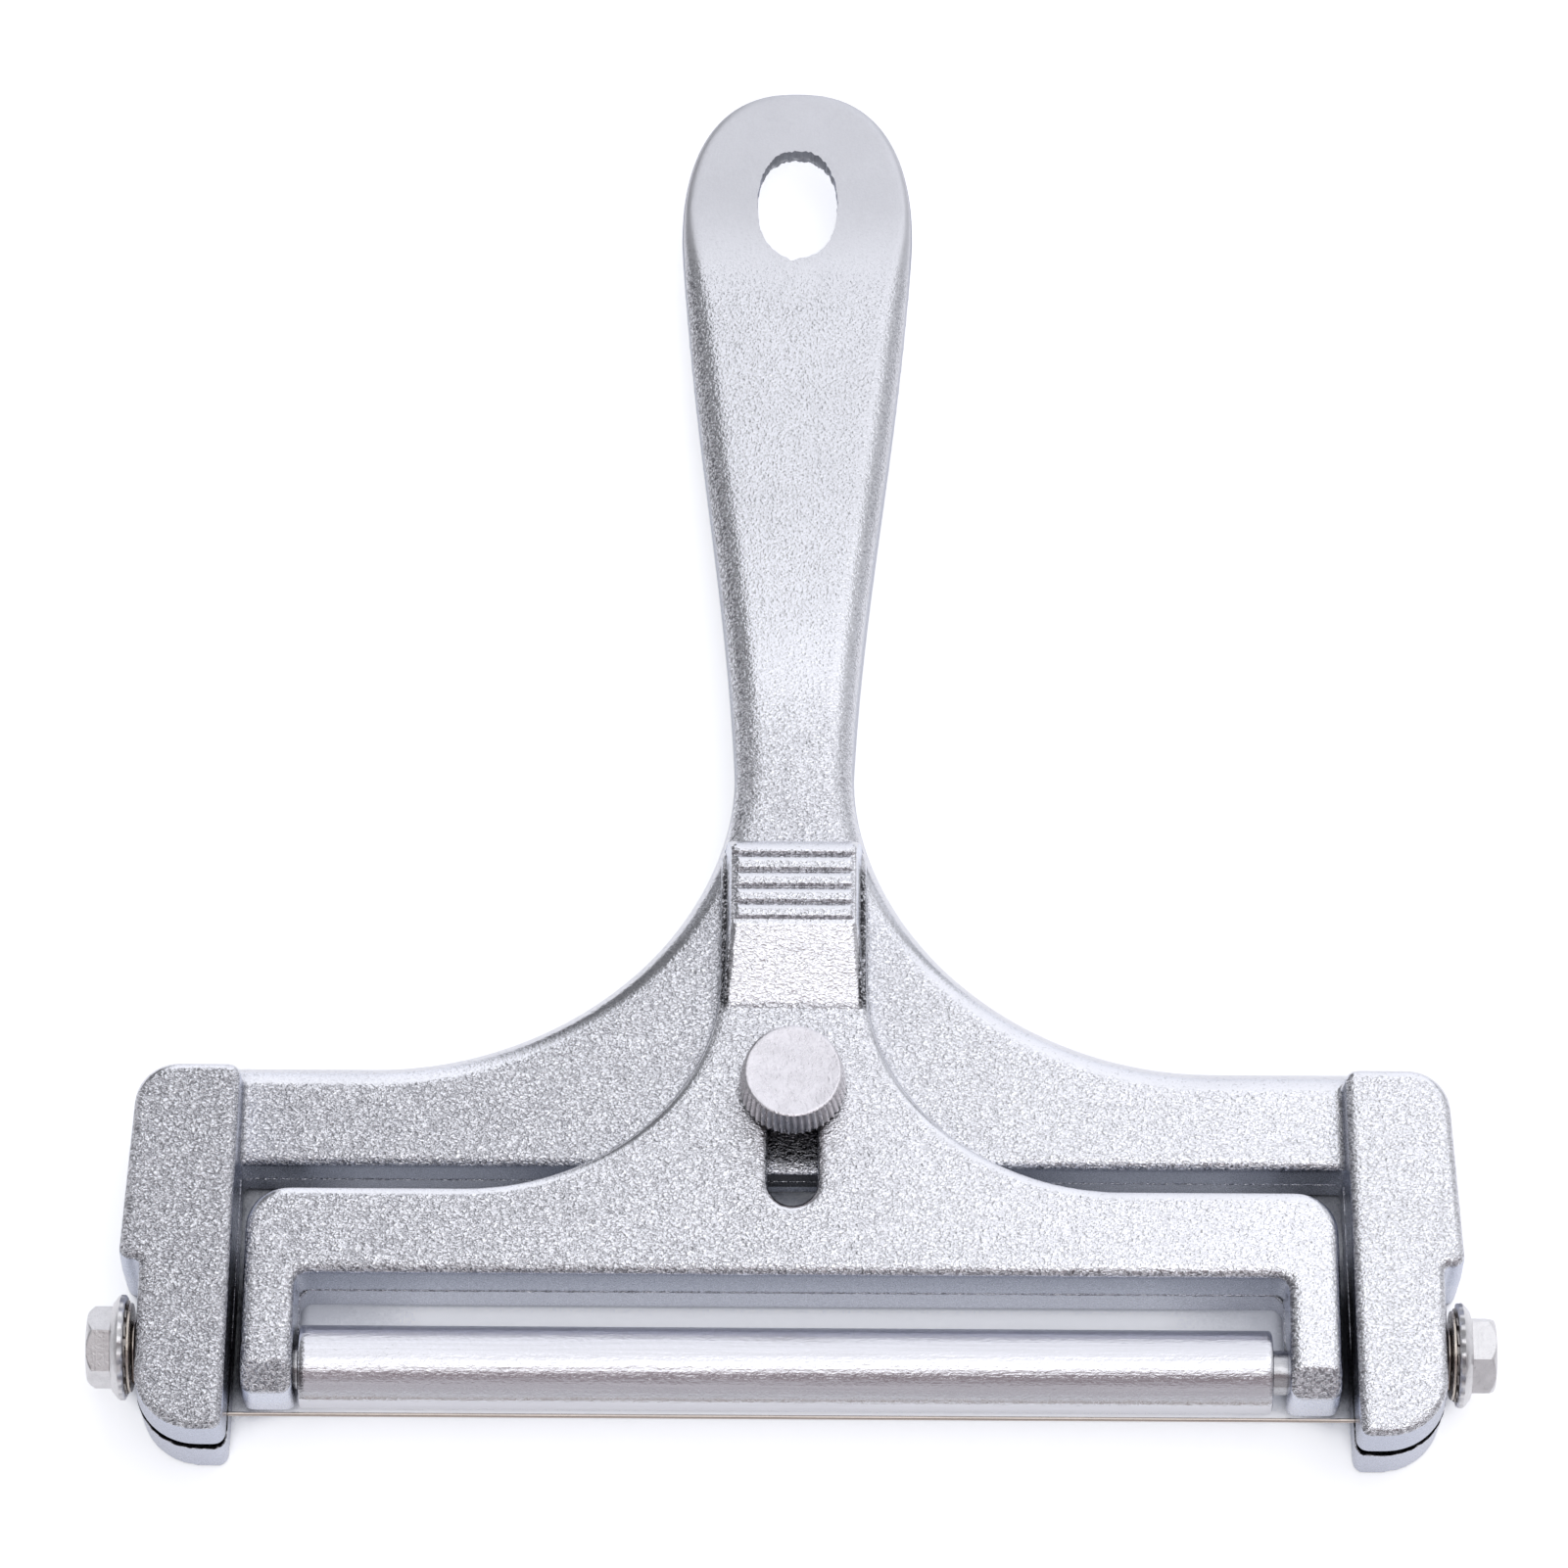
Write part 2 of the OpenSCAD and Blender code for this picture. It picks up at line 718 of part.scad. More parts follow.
module tension_bolt() {
    across_corners = hex_af / cos(30);
    on_bolt_axis(flange_x - bolt_length)
        cylinder(h = bolt_length + flange_t, d = bolt_d, $fn = 48);
    on_bolt_axis(flange_x)
        rotate_extrude($fn = 64)
            polygon([[0, 0], [flange_d / 2, 0], [flange_d / 2, flange_t / 2],
                     [hex_af / 2, flange_t], [0, flange_t]]);
    intersection() {
        on_bolt_axis(flange_x + flange_t / 2)
            cylinder(h = hex_h + flange_t / 2, d = across_corners, $fn = 6);
        on_bolt_axis(flange_x)
            rotate_extrude($fn = 64)
                polygon([[0, 0], [across_corners, 0], [across_corners, flange_t],
                         [across_corners / 2, hex_h + flange_t - 2 * small_chamfer],
                         [hex_af / 2, hex_h + flange_t], [0, hex_h + flange_t]]);
    }
}

tooth_count = 14;
tooth_depth = 0.7;

// Tooth outline as [share of the pitch, share of the tooth depth]
tooth_shares = [[-0.28, 0], [0.28, 0], [0.36, 1], [0.64, 1]];

module lock_washer() {
    pitch = 360 / tooth_count;
    on_bolt_axis(lock_washer_x)
        linear_extrude(height = lock_washer_t)
            difference() {
                polygon([for (i = [0:tooth_count - 1])
                    for (s = tooth_shares)
                        (lock_washer_d / 2 - tooth_depth * s[1])
                            * [cos((i + s[0]) * pitch), sin((i + s[0]) * pitch)]]);
                circle(d = bolt_hole_d + 2 * washer_gap, $fn = 48);
            }
}

module plain_washer() {
    on_bolt_axis(plain_washer_x)
        washer(plain_washer_d, bolt_hole_d + 2 * washer_gap, plain_washer_t);
}

module right_tension_bolt() {
    color("lightsteelblue") tension_bolt();
}

module left_tension_bolt() {
    color("lightsteelblue") mirror([1, 0, 0]) tension_bolt();
}

module right_lock_washer() {
    color("slategray") lock_washer();
}

module left_lock_washer() {
    color("slategray") mirror([1, 0, 0]) lock_washer();
}

module right_plain_washer() {
    color("silver") plain_washer();
}

module left_plain_washer() {
    color("silver") mirror([1, 0, 0]) plain_washer();
}

frame_casting();
guide_casting();
thumb_screw();
thumb_washer();
roller_tube();
roller_axle();
cutting_wire();
left_tension_bolt();
right_tension_bolt();
left_lock_washer();
right_lock_washer();
left_plain_washer();
right_plain_washer();
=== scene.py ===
import math

import bmesh
import bpy
import numpy as np
from mathutils import Matrix, Vector, noise


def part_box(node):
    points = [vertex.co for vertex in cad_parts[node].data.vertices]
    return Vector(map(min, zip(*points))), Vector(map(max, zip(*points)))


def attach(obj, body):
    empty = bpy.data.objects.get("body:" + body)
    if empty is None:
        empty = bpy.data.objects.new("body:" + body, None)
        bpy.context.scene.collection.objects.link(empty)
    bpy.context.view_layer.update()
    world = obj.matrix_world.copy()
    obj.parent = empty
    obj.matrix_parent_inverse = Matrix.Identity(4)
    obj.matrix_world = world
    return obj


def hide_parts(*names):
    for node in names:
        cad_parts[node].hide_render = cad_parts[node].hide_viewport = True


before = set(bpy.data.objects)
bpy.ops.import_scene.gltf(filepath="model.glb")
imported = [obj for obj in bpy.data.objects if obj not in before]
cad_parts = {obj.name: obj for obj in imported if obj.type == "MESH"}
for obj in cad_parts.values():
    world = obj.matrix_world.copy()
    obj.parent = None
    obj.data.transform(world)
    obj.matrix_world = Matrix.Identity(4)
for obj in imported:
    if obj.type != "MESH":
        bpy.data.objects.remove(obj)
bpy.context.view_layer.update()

# Lengths are in millimetres, and a value times MM is in metres. Pieces are scaled once, when finished.
MM = 0.001

# Sideways reach of a cutter that passes the whole object
FAR = 80


def node_box(node):
    """Lowest and highest corner of a CAD node in millimetres"""
    low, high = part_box(node)
    return np.array(low) / MM, np.array(high) / MM


FRAME_LOW, FRAME_HIGH = node_box("frame_casting")
GUIDE_LOW, GUIDE_HIGH = node_box("guide_casting")
ROLLER_LOW, ROLLER_HIGH = node_box("roller_tube")
AXLE_LOW, AXLE_HIGH = node_box("roller_axle")
SCREW_LOW, SCREW_HIGH = node_box("thumb_screw")
KNOB_WASHER_LOW, KNOB_WASHER_HIGH = node_box("thumb_washer")
WIRE_LOW = node_box("cutting_wire")[0]
BOLT_LOW, BOLT_HIGH = node_box("right_tension_bolt")
TOOTH_LOW, TOOTH_HIGH = node_box("right_lock_washer")
PLAIN_LOW, PLAIN_HIGH = node_box("right_plain_washer")

# Handle and crossbar, as in the part's source where it has the same form
HANDLE_REACH = FRAME_HIGH[1]
NECK_RISE = 41.8
NECK_W = 14
HEAD_W = 28
HEAD_H = 21
TIP_T = 2.8
HANDLE_EDGE_R = 2.5
HEAD_EDGE_R = 0.7
GROUND_START = 102
GROUND_END = 118
HOLE_W = 9.7
HOLE_H = 15.2
HOLE_DROP = 16.3
HOLE_DRAFT = 0.3
RIM_WAVE = 0.13
NICK_DEPTH = 0.45
NICK_X = -0.7
NICK_HALF_W = 0.5
BAR_UP = 4.2
BAR_DROP = 8.5
BAR_T = 8.8
BAR_EDGE_R = 0.9
BAR_EDGE_SPREAD = 1.35
EDGE_SPREAD = 1.3
FLARE_SPAN = 40.5
CHANNEL_W = 12
CHANNEL_Z = 6.5
CHANNEL_RISE = 19
FLARE_POWER = 1.96
HEAD_POWER = 2.4
HOLE_POWER = 2.25
HEAD_END_ANGLE = 88
DRAFT = 0.15

# Arms; the slit is wider than in the part's source, as the photo shows it
ARM_IN = 62.4
ARM_FOOT_IN = 62.9
SHOULDER_X = 74.3
SEAT_X = 73.2
HOOK_X = FRAME_HIGH[0]
ARM_UP = 2.5
ARM_DROP = -FRAME_LOW[1]
HOOK_DROP = 21.5
ARM_T = FRAME_HIGH[2]
ARM_EDGE_R = 0.8
ARM_TOE_R = 1.3
ARM_HEEL_R = 7.1
NOTCH_R = 0.5
SHOULDER_R = 5
BROW_R = 1.5
BOLT_HOLE_D = 5
HOLE_SKIN = 1
SLIT_W = 1.3
SLIT_BREAK = 0.12

# Guide
FACE_Z = 11.7
PLATE_BACK_Z = 8.9
GUIDE_OUT = GUIDE_HIGH[0]
LEG_IN = 55.45
GUIDE_LIFT = GUIDE_LOW[2]
WING_DROP = 11.9
RAIL_TOP_DROP = 18.9
RAIL_DROP = 22.5
LEG_DROP = -GUIDE_LOW[1]
GUIDE_EDGE_R = 0.9
INNER_CORNER_R = 1.2
LEG_CORNER_R = 1.425
WING_CORNER_R = 5
LEG_CHAMFER = 2.8
STRIP_W = 17
STRIP_RISE = GUIDE_HIGH[1]
GUIDE_FLARE_W = 28.5
GUIDE_FLARE_RISE = 14
TONGUE_W = 11.6
TONGUE_RISE = 8
TONGUE_Z = 6.7
SLOT_W = 5.7
SLOT_LOW = 11.2
SLOT_HIGH = 0.3
RIM_STEPS = ((0.4, 0.2), (0.15, 0.5))
AXLE_BORE_R = 2.52

# Thumb tab
TAB_FOOT_W = 16.2
TAB_CREST_W = 14.3
CREST_Z = GUIDE_HIGH[2]
RAMP_Y = 9.8
RAMP_LEN = 9.1
RAMP_RISE = 3.3
RIB_Y = 19.5
RIB_COUNT = 5
RIB_PITCH = 1.99
RIB_DEPTH = 0.42
RIB_SHARE = 0.5
RIB_FOOT_SHARE = 0.2
BAR_MARGIN = 0.1
BAR_END = 0.8
TAB_END_R = 2
TAB_ROWS = 320
TAB_COLUMNS = 60
RIB_EDGE_R = 0.4
LEDGE = 0.5

# Fineness of the meshes
SWEPT_SIDES = 72
ROLLER_SIDES = 128
AXLE_SIDES = 96
BOLT_SIDES = 144
WIRE_SIDES = 12
LOOP_STEPS = 60
KNOB_STEPS = 10
HEX_STEPS = 9
OUTLINE_STEPS = 36
EDGE_STEPS = 9
PLATE_STEPS = 8
BEND_STEPS = 10
ROD_SIDES = 64
VOXEL = 0.3
SMOOTH_ROUNDS = 5
KEPT_FACES = 0.35


def unit(v):
    return v / np.linalg.norm(v)


def spun(v, angle):
    c, s = math.cos(angle), math.sin(angle)
    return np.array([v[0] * c - v[1] * s, v[0] * s + v[1] * c])


def corner(before, point, after, radius, steps):
    """Points of one rounded corner"""
    if radius == 0:
        return [point]
    u = unit(before - point)
    v = unit(after - point)
    half = math.acos(np.clip(u @ v, -1, 1)) / 2
    centre = point + unit(u + v) * radius / math.sin(half)
    start = point + u * radius / math.tan(half) - centre
    end = point + v * radius / math.tan(half) - centre
    side = 1 if start[0] * end[1] - start[1] * end[0] > 0 else -1
    turn = side * (math.pi - 2 * half)
    return [centre + spun(start, turn * k / steps) for k in range(steps + 1)]


def rounded(corners, steps=8):
    """Outline through a list of (x, y, corner radius)"""
    xy = [np.array(c[:2], float) for c in corners]
    n = len(xy)
    return np.array([p for i in range(n)
                     for p in corner(xy[i - 1], xy[i], xy[(i + 1) % n], corners[i][2], steps)])


def quarter(a, b, power, start, end, steps):
    """Quarter of a superellipse between two angles in degrees"""
    t = np.radians(np.linspace(start, end, steps + 1))
    c = np.clip(np.cos(t), 0, 1)
    s = np.clip(np.sin(t), 0, 1)
    return np.stack([a * c ** (2 / power), b * s ** (2 / power)], axis=1)


def mirrored(points):
    return np.array(points)[::-1] * np.array([-1, 1])


def units(vectors):
    return vectors / np.linalg.norm(vectors, axis=1)[:, None]


def edge_normals(edges):
    edges = units(edges)
    return np.stack([edges[:, 1], -edges[:, 0]], axis=1)


def inset(outline, distance):
    """Outline moved inwards by one distance, or by one distance for each point"""
    a = edge_normals(outline - np.roll(outline, 1, axis=0))
    b = edge_normals(np.roll(outline, -1, axis=0) - outline)
    share = distance / (1 + (a * b).sum(axis=1))
    return outline - (a + b) * np.reshape(share, (-1, 1))


def placed(name, data):
    obj = bpy.data.objects.new(name, data)
    bpy.context.scene.collection.objects.link(obj)
    return obj


def make(name, verts, faces):
    """Object in millimetres from points and faces, with its faces turned outwards"""
    mesh = bpy.data.meshes.new(name)
    mesh.from_pydata([tuple(map(float, v)) for v in verts], [], faces)
    bm = bmesh.new()
    bm.from_mesh(mesh)
    bmesh.ops.recalc_face_normals(bm, faces=bm.faces)
    bm.to_mesh(mesh)
    bm.free()
    return placed(name, mesh)


def loft(name, rings, caps=None):
    """Solid through a stack of rings with n points each; caps are the end faces, one polygon by default"""
    n = len(rings[0])
    last = (len(rings) - 1) * n
    caps = caps or [list(range(n))]
    faces = [[j * n + i, j * n + (i + 1) % n, (j + 1) * n + (i + 1) % n, (j + 1) * n + i]
             for j in range(len(rings) - 1) for i in range(n)]
    faces += caps + [[i + last for i in face] for face in caps]
    return make(name, np.concatenate(rings), faces)


def at_height(outline, z):
    return np.column_stack([outline, np.full(len(outline), z)])


def prism(name, outline, low, high):
    return loft(name, [at_height(outline, low), at_height(outline, high)])


def block(name, low, high):
    x0, y0, z0 = low
    x1, y1, z1 = high
    return prism(name, np.array([[x0, y0], [x1, y0], [x1, y1], [x0, y1]]), z0, z1)


def plate(name, outline, low, high, edge_r, parting):
    """Plate with a rounded front edge and a draft to both sides of its parting"""
    levels = [(low, DRAFT), (parting, 0)]
    for k in range(PLATE_STEPS + 1):
        t = math.pi / 2 * (1 - k / PLATE_STEPS)
        levels.append((high - edge_r * (1 - math.cos(t)), DRAFT + EDGE_SPREAD * edge_r * (1 - math.sin(t))))
    return loft(name, [at_height(inset(outline, d), z) for z, d in levels])


def bake(obj):
    """Replaces the object's mesh by what its modifiers make of it"""
    graph = bpy.context.evaluated_depsgraph_get()
    mesh = bpy.data.meshes.new_from_object(obj.evaluated_get(graph))
    obj.modifiers.clear()
    obj.data = mesh


def carve(obj, *cutters):
    for cutter in cutters:
        step = obj.modifiers.new("carve", "BOOLEAN")
        step.operation = "DIFFERENCE"
        step.solver = "EXACT"
        step.object = cutter
        bake(obj)
        bpy.data.objects.remove(cutter)


def joined(name, parts):
    """One object from several, which are removed"""
    bm = bmesh.new()
    for part in parts:
        bm.from_mesh(part.data)
        bpy.data.objects.remove(part)
    mesh = bpy.data.meshes.new(name)
    bm.to_mesh(mesh)
    bm.free()
    return placed(name, mesh)


def fuse(obj):
    """Turns overlapping shells into one cast skin with small fillets"""
    grid = obj.modifiers.new("grid", "REMESH")
    grid.mode = "VOXEL"
    grid.voxel_size = VOXEL
    bake(obj)
    soften = obj.modifiers.new("soften", "SMOOTH")
    soften.factor = 0.5
    soften.iterations = SMOOTH_ROUNDS
    thin = obj.modifiers.new("thin", "DECIMATE")
    thin.ratio = KEPT_FACES
    bake(obj)


def finish_piece(obj, body, node, material, sharp=35):
    """Scales the piece to metres, smooths its shading and puts it in the CAD node's place"""
    obj.data.transform(Matrix.Scale(MM, 4))
    obj.data.shade_smooth()
    obj.data.set_sharp_from_angle(angle=math.radians(sharp))
    even = obj.modifiers.new("even", "WEIGHTED_NORMAL")
    even.keep_sharp = True
    bake(obj)
    obj.data.materials.clear()
    obj.data.materials.append(material)
    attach(obj, body)
    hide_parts(node)


# Frame casting


def growth_share(t):
    return (t + (1 - math.cos(math.pi * t)) / 2) / 2


def half_t(y):
    """Half thickness of the handle at the height y"""
    t = max(0, (y - NECK_RISE) / (HANDLE_REACH - NECK_RISE))
    return (BAR_T + (TIP_T - BAR_T) * t) / 2


def handle_edge_r(y):
    """Radius of the handle's rounded edge, which grows crisp where the head was ground flat"""
    ground = np.clip((y - GROUND_START) / (GROUND_END - GROUND_START), 0, 1)
    radius = HANDLE_EDGE_R + (HEAD_EDGE_R - HANDLE_EDGE_R) * ground
    return min(radius, half_t(y) - DRAFT)


def spine_outline_half(steps):
    flare_x = NECK_W / 2 + FLARE_SPAN
    head_y = HANDLE_REACH - HEAD_H
    end_x = (ARM_IN + SHOULDER_X) / 2
    points = [[end_x, -BAR_DROP], [end_x, BAR_UP]]
    for p in quarter(FLARE_SPAN, NECK_RISE - BAR_UP, FLARE_POWER, 90, 0, steps):
        points.append([flare_x - p[0], NECK_RISE - p[1]])
    for k in range(1, steps + 1):
        t = k / steps
        half = NECK_W / 2 + (HEAD_W - NECK_W) / 2 * growth_share(t)
        points.append([half, NECK_RISE + (head_y - NECK_RISE) * t])
    for p in quarter(HEAD_W / 2, HEAD_H, HEAD_POWER, 0, HEAD_END_ANGLE, steps)[1:]:
        points.append([p[0], head_y + p[1]])
    return np.array(points)


def spine():
    right = spine_outline_half(OUTLINE_STEPS)
    outline = np.concatenate([right, mirrored(right)])
    m = len(right)
    edge = np.array([BAR_EDGE_R if y < 0 else handle_edge_r(y) for y in outline[:, 1]])
    width = edge * np.array([EDGE_SPREAD if y > NECK_RISE / 2 else BAR_EDGE_SPREAD for y in outline[:, 1]])
    angles = [math.pi / 2 * k / EDGE_STEPS for k in range(EDGE_STEPS + 1)]
    levels = [(-1, a) for a in angles] + [None] + [(1, a) for a in reversed(angles)]
    rings = []
    for level in levels:
        if level is None:
            rings.append(at_height(outline, BAR_T / 2))
            continue
        side, a = level
        flat = inset(outline, DRAFT + width * (1 - math.sin(a)))
        half = np.array([half_t(y) for y in flat[:, 1]])
        z = BAR_T / 2 + side * (half - edge * (1 - math.cos(a)))
        rings.append(np.column_stack([flat, z]))
    rungs = [[i, i + 1, 2 * m - 2 - i, 2 * m - 1 - i] for i in range(m - 1)]
    return loft("spine", rings, rungs)


def arm_outline():
    return rounded([
        (ARM_FOOT_IN, -ARM_DROP, ARM_TOE_R),
        (SEAT_X, -ARM_DROP, ARM_HEEL_R),
        (SEAT_X, -HOOK_DROP, NOTCH_R),
        (HOOK_X, -HOOK_DROP, ARM_TOE_R),
        (SHOULDER_X, ARM_UP, SHOULDER_R),
        (ARM_IN, ARM_UP, BROW_R)], 10)


def arms():
    right = arm_outline()
    return [plate("arm", outline, 0, ARM_T, ARM_EDGE_R, ARM_T / 2) for outline in (right, mirrored(right))]


# The wire's middle line, as in the part's source
WIRE_D = 0.5
WIRE_Z = 7
WIRE_DROP = -WIRE_LOW[1] - WIRE_D / 2
BOLT_DROP = -(BOLT_LOW[1] + BOLT_HIGH[1]) / 2
SEAT_GAP = 0.05
BEND_R = 3.3
LOOP_R = 2.9
LOOP_END = 285
EXIT_SHARE = 1.35
LOOP_X = SEAT_X + WIRE_D / 2 + SEAT_GAP
EXIT_Y = -BOLT_DROP - EXIT_SHARE * LOOP_R
BEND_Y = -WIRE_DROP + BEND_R
BEND_X = LOOP_X - EXIT_Y - WIRE_DROP - BEND_R * (math.sqrt(2) - 1)


def wire_bend(radius):
    """Bend of the wire, or of a line inside it, round the slit's root"""
    t = np.radians(np.linspace(-90, -45, BEND_STEPS + 1))
    return np.stack([BEND_X + radius * np.cos(t), BEND_Y + radius * np.sin(t)], axis=1)


def slit_cutters(side):
    """Slit for the wire and the V-shaped break along its lips"""
    root_gap = WIRE_D / 2 + SEAT_GAP
    bend = wire_bend(BEND_R - root_gap)
    run = SHOULDER_X + 1 - bend[-1][0]
    outline = np.concatenate([
        [[ARM_IN - 1, -ARM_DROP - 1], [SHOULDER_X + 1, -ARM_DROP - 1], bend[-1] + run],
        bend[::-1], [[ARM_IN - 1, -WIRE_DROP + root_gap]]])
    outline = outline * np.array([side, 1])
    arm = arm_outline() if side > 0 else mirrored(arm_outline())
    reach = SLIT_W / 2 + SLIT_BREAK
    mouth = prism("mouth", outline, WIRE_Z - reach, WIRE_Z + reach)
    levels = ((-reach, 0), (0, reach), (reach, 0))
    core = loft("core", [at_height(inset(arm, depth + DRAFT / 2), WIRE_Z + z) for z, depth in levels])
    carve(mouth, core)
    return [prism("slit", outline, WIRE_Z - SLIT_W / 2, WIRE_Z + SLIT_W / 2), mouth]


def rod(name, radius, low, high):
    angle = np.linspace(0, 2 * math.pi, ROD_SIDES, endpoint=False)
    ring = np.stack([radius * np.cos(angle), radius * np.sin(angle)], axis=1)
    return prism(name, ring, low, high)


def lay_along_x(obj, side, centre):
    """Moves an object made round Z to the X direction through a centre in Y and Z"""
    turn = Matrix(((0, 0, side, 0), (1, 0, 0, centre[0]), (0, side, 0, centre[1]), (0, 0, 0, 1)))
    obj.data.transform(turn)
    return obj


def bolt_hole_cutter(side):
    depth = SEAT_X - ARM_FOOT_IN - HOLE_SKIN
    hole = rod("bolt_hole", BOLT_HOLE_D / 2, SEAT_X - depth, SEAT_X + 5)
    return lay_along_x(hole, side, (-BOLT_DROP, WIRE_Z))


def hang_hole_cutter():
    """Oval hole with the ragged rim of a trimmed casting and a small nick at its lower end"""
    upper = quarter(HOLE_W / 2, HOLE_H / 2, HOLE_POWER, 0, 90, 60)
    right = np.concatenate([upper[:0:-1] * np.array([1, -1]), upper])
    ring = np.concatenate([right, mirrored(right)[1:-1]])
    centre_y = HANDLE_REACH - HOLE_DROP
    rings = []
    for z in np.linspace(-1, BAR_T + 1, 24):
        shift = []
        flare = HOLE_DRAFT * max(0, BAR_T / 2 - z)
        for x, y in ring:
            wave = noise.noise(Vector((x * 1.4, y * 1.4, z * 0.9)))
            if y > HOLE_H / 4:
                wave += 2 * noise.noise(Vector((x * 3, y * 3, z * 0.4)))
            nick = NICK_DEPTH * math.exp(-((x - NICK_X) / NICK_HALF_W) ** 2) if y < 0 else 0
            shift.append(1 + (RIM_WAVE * wave + nick + flare) / math.hypot(x, y))
        rings.append(at_height(ring * np.reshape(shift, (-1, 1)) + np.array([0, centre_y]), z))
    return loft("hang_hole", rings)


LINE_STEP = 0.35
LINE_SIDES = 6


def ragged_line(name, points, radius, height):
    """Thin uneven ridge of flash along a parting line, at one height above the back plane"""
    points = np.array(points, float)
    steps = np.linalg.norm(np.diff(points, axis=0), axis=1)
    length = np.concatenate([[0], np.cumsum(steps)])
    count = int(length[-1] / LINE_STEP)
    s = np.linspace(0, length[-1], count)
    path = np.stack([np.interp(s, length, points[:, 0]), np.interp(s, length, points[:, 1])], axis=1)
    side = edge_normals(np.gradient(path, axis=0))
    rings = []
    for i in range(count):
        wave = noise.noise(Vector((s[i] * 1.3, height, path[i][0])))
        lift = 0.05 * noise.noise(Vector((s[i] * 0.8, 5, path[i][0])))
        r = radius * (0.75 + 0.6 * wave)
        ring = []
        for k in range(LINE_SIDES):
            a = 2 * math.pi * k / LINE_SIDES
            flat = path[i] + side[i] * r * math.cos(a)
            ring.append([flat[0], flat[1], height + lift + r * math.sin(a)])
        rings.append(np.array(ring))
    return loft(name, rings)


def slit_lip(side):
    """Uneven flash on the slit's lower lip, from the inner wall round the arm's heel"""
    rows = [p for p in inset(arm_outline(), 0.1) if p[1] < BEND_Y and p[0] > ARM_FOOT_IN + 0.5]
    rows.sort(key=lambda p: p[0])
    rows = np.array([[ARM_FOOT_IN + 0.12, -WIRE_DROP], *rows])
    return ragged_line("slit_lip", rows * np.array([side, 1]), 0.17, WIRE_Z - SLIT_W / 2 - SLIT_BREAK)


def frame_piece(material):
    body = spine()
    carve(body, block("channel", (-CHANNEL_W / 2, -BAR_DROP - 1, CHANNEL_Z),
                      (CHANNEL_W / 2, CHANNEL_RISE, BAR_T + 1)))
    casting = joined("cast_frame", [body] + arms())
    fuse(casting)
    cutters = [hang_hole_cutter(), rod("screw_hole", BOLT_HOLE_D / 2, HOLE_SKIN, BAR_T + 1)]
    for side in (-1, 1):
        cutters += slit_cutters(side) + [bolt_hole_cutter(side)]
    carve(casting, *cutters)
    lines = [ragged_line("bar_line", [(-ARM_IN, -BAR_DROP), (ARM_IN, -BAR_DROP)], 0.13, BAR_T / 2)]
    for side in (-1, 1):
        inner = [(side * (ARM_IN + 0.1), -BAR_DROP - 1), (side * ARM_FOOT_IN, -ARM_DROP + 2)]
        lines.append(ragged_line("arm_line", inner, 0.09, ARM_T / 2))
        lines.append(slit_lip(side))
    casting = joined("cast_frame", [casting] + lines)
    finish_piece(casting, "frame", "frame_casting", material)


# Guide casting


def guide_outline():
    flare = quarter(GUIDE_FLARE_W, GUIDE_FLARE_RISE + WING_DROP, 2, 90, 0, 40)
    flare_x = STRIP_W / 2 + GUIDE_FLARE_W
    corners = [(LEG_IN, -RAIL_DROP, INNER_CORNER_R), (LEG_IN, -LEG_DROP, LEG_CORNER_R),
               (GUIDE_OUT, -LEG_DROP, LEG_CORNER_R), (GUIDE_OUT, -WING_DROP, WING_CORNER_R)]
    corners += [(flare_x - p[0], GUIDE_FLARE_RISE - p[1], 0) for p in flare]
    corners += [(STRIP_W / 2, STRIP_RISE, LEG_CORNER_R)]
    left = [(-x, y, r) for x, y, r in reversed(corners)]
    return rounded(corners + left)


def tab_height(y):
    """Height of the tab's crest line over its grip bars"""
    rib_y = RAMP_Y + RAMP_LEN
    crest_y = STRIP_RISE - LEDGE - TAB_END_R
    if y < rib_y:
        return FACE_Z + RAMP_RISE * (y - RAMP_Y) / RAMP_LEN
    if y < crest_y:
        low = FACE_Z + RAMP_RISE + RIB_DEPTH
        return low + (CREST_Z - low) * (y - rib_y) / (crest_y - rib_y)
    run = min(y - crest_y, TAB_END_R)
    return CREST_Z - TAB_END_R + math.sqrt(TAB_END_R ** 2 - run ** 2)


def groove(x, y):
    """Depth below the crest between and beside the grip bars, which have rounded ends"""
    s = (y - RIB_Y) / RIB_PITCH
    if y < RAMP_Y + RAMP_LEN or s >= RIB_COUNT - 1 + RIB_SHARE:
        return 0
    if s < 0:
        return RIB_DEPTH
    along = s % 1
    rise = min(1, along / RIB_FOOT_SHARE)
    fall = min(1, max(0, (1 - along) / (1 - RIB_SHARE)))
    across = np.clip((TAB_CREST_W / 2 - BAR_MARGIN - abs(x)) / BAR_END, 0, 1)
    if s > RIB_COUNT - 1:
        fall = 1
        across = max(across, min(1, along / RIB_SHARE))
    height = math.sin(rise * math.pi / 2) * math.sin(fall * math.pi / 2) * math.sin(across * math.pi / 2)
    return RIB_DEPTH * (1 - height)


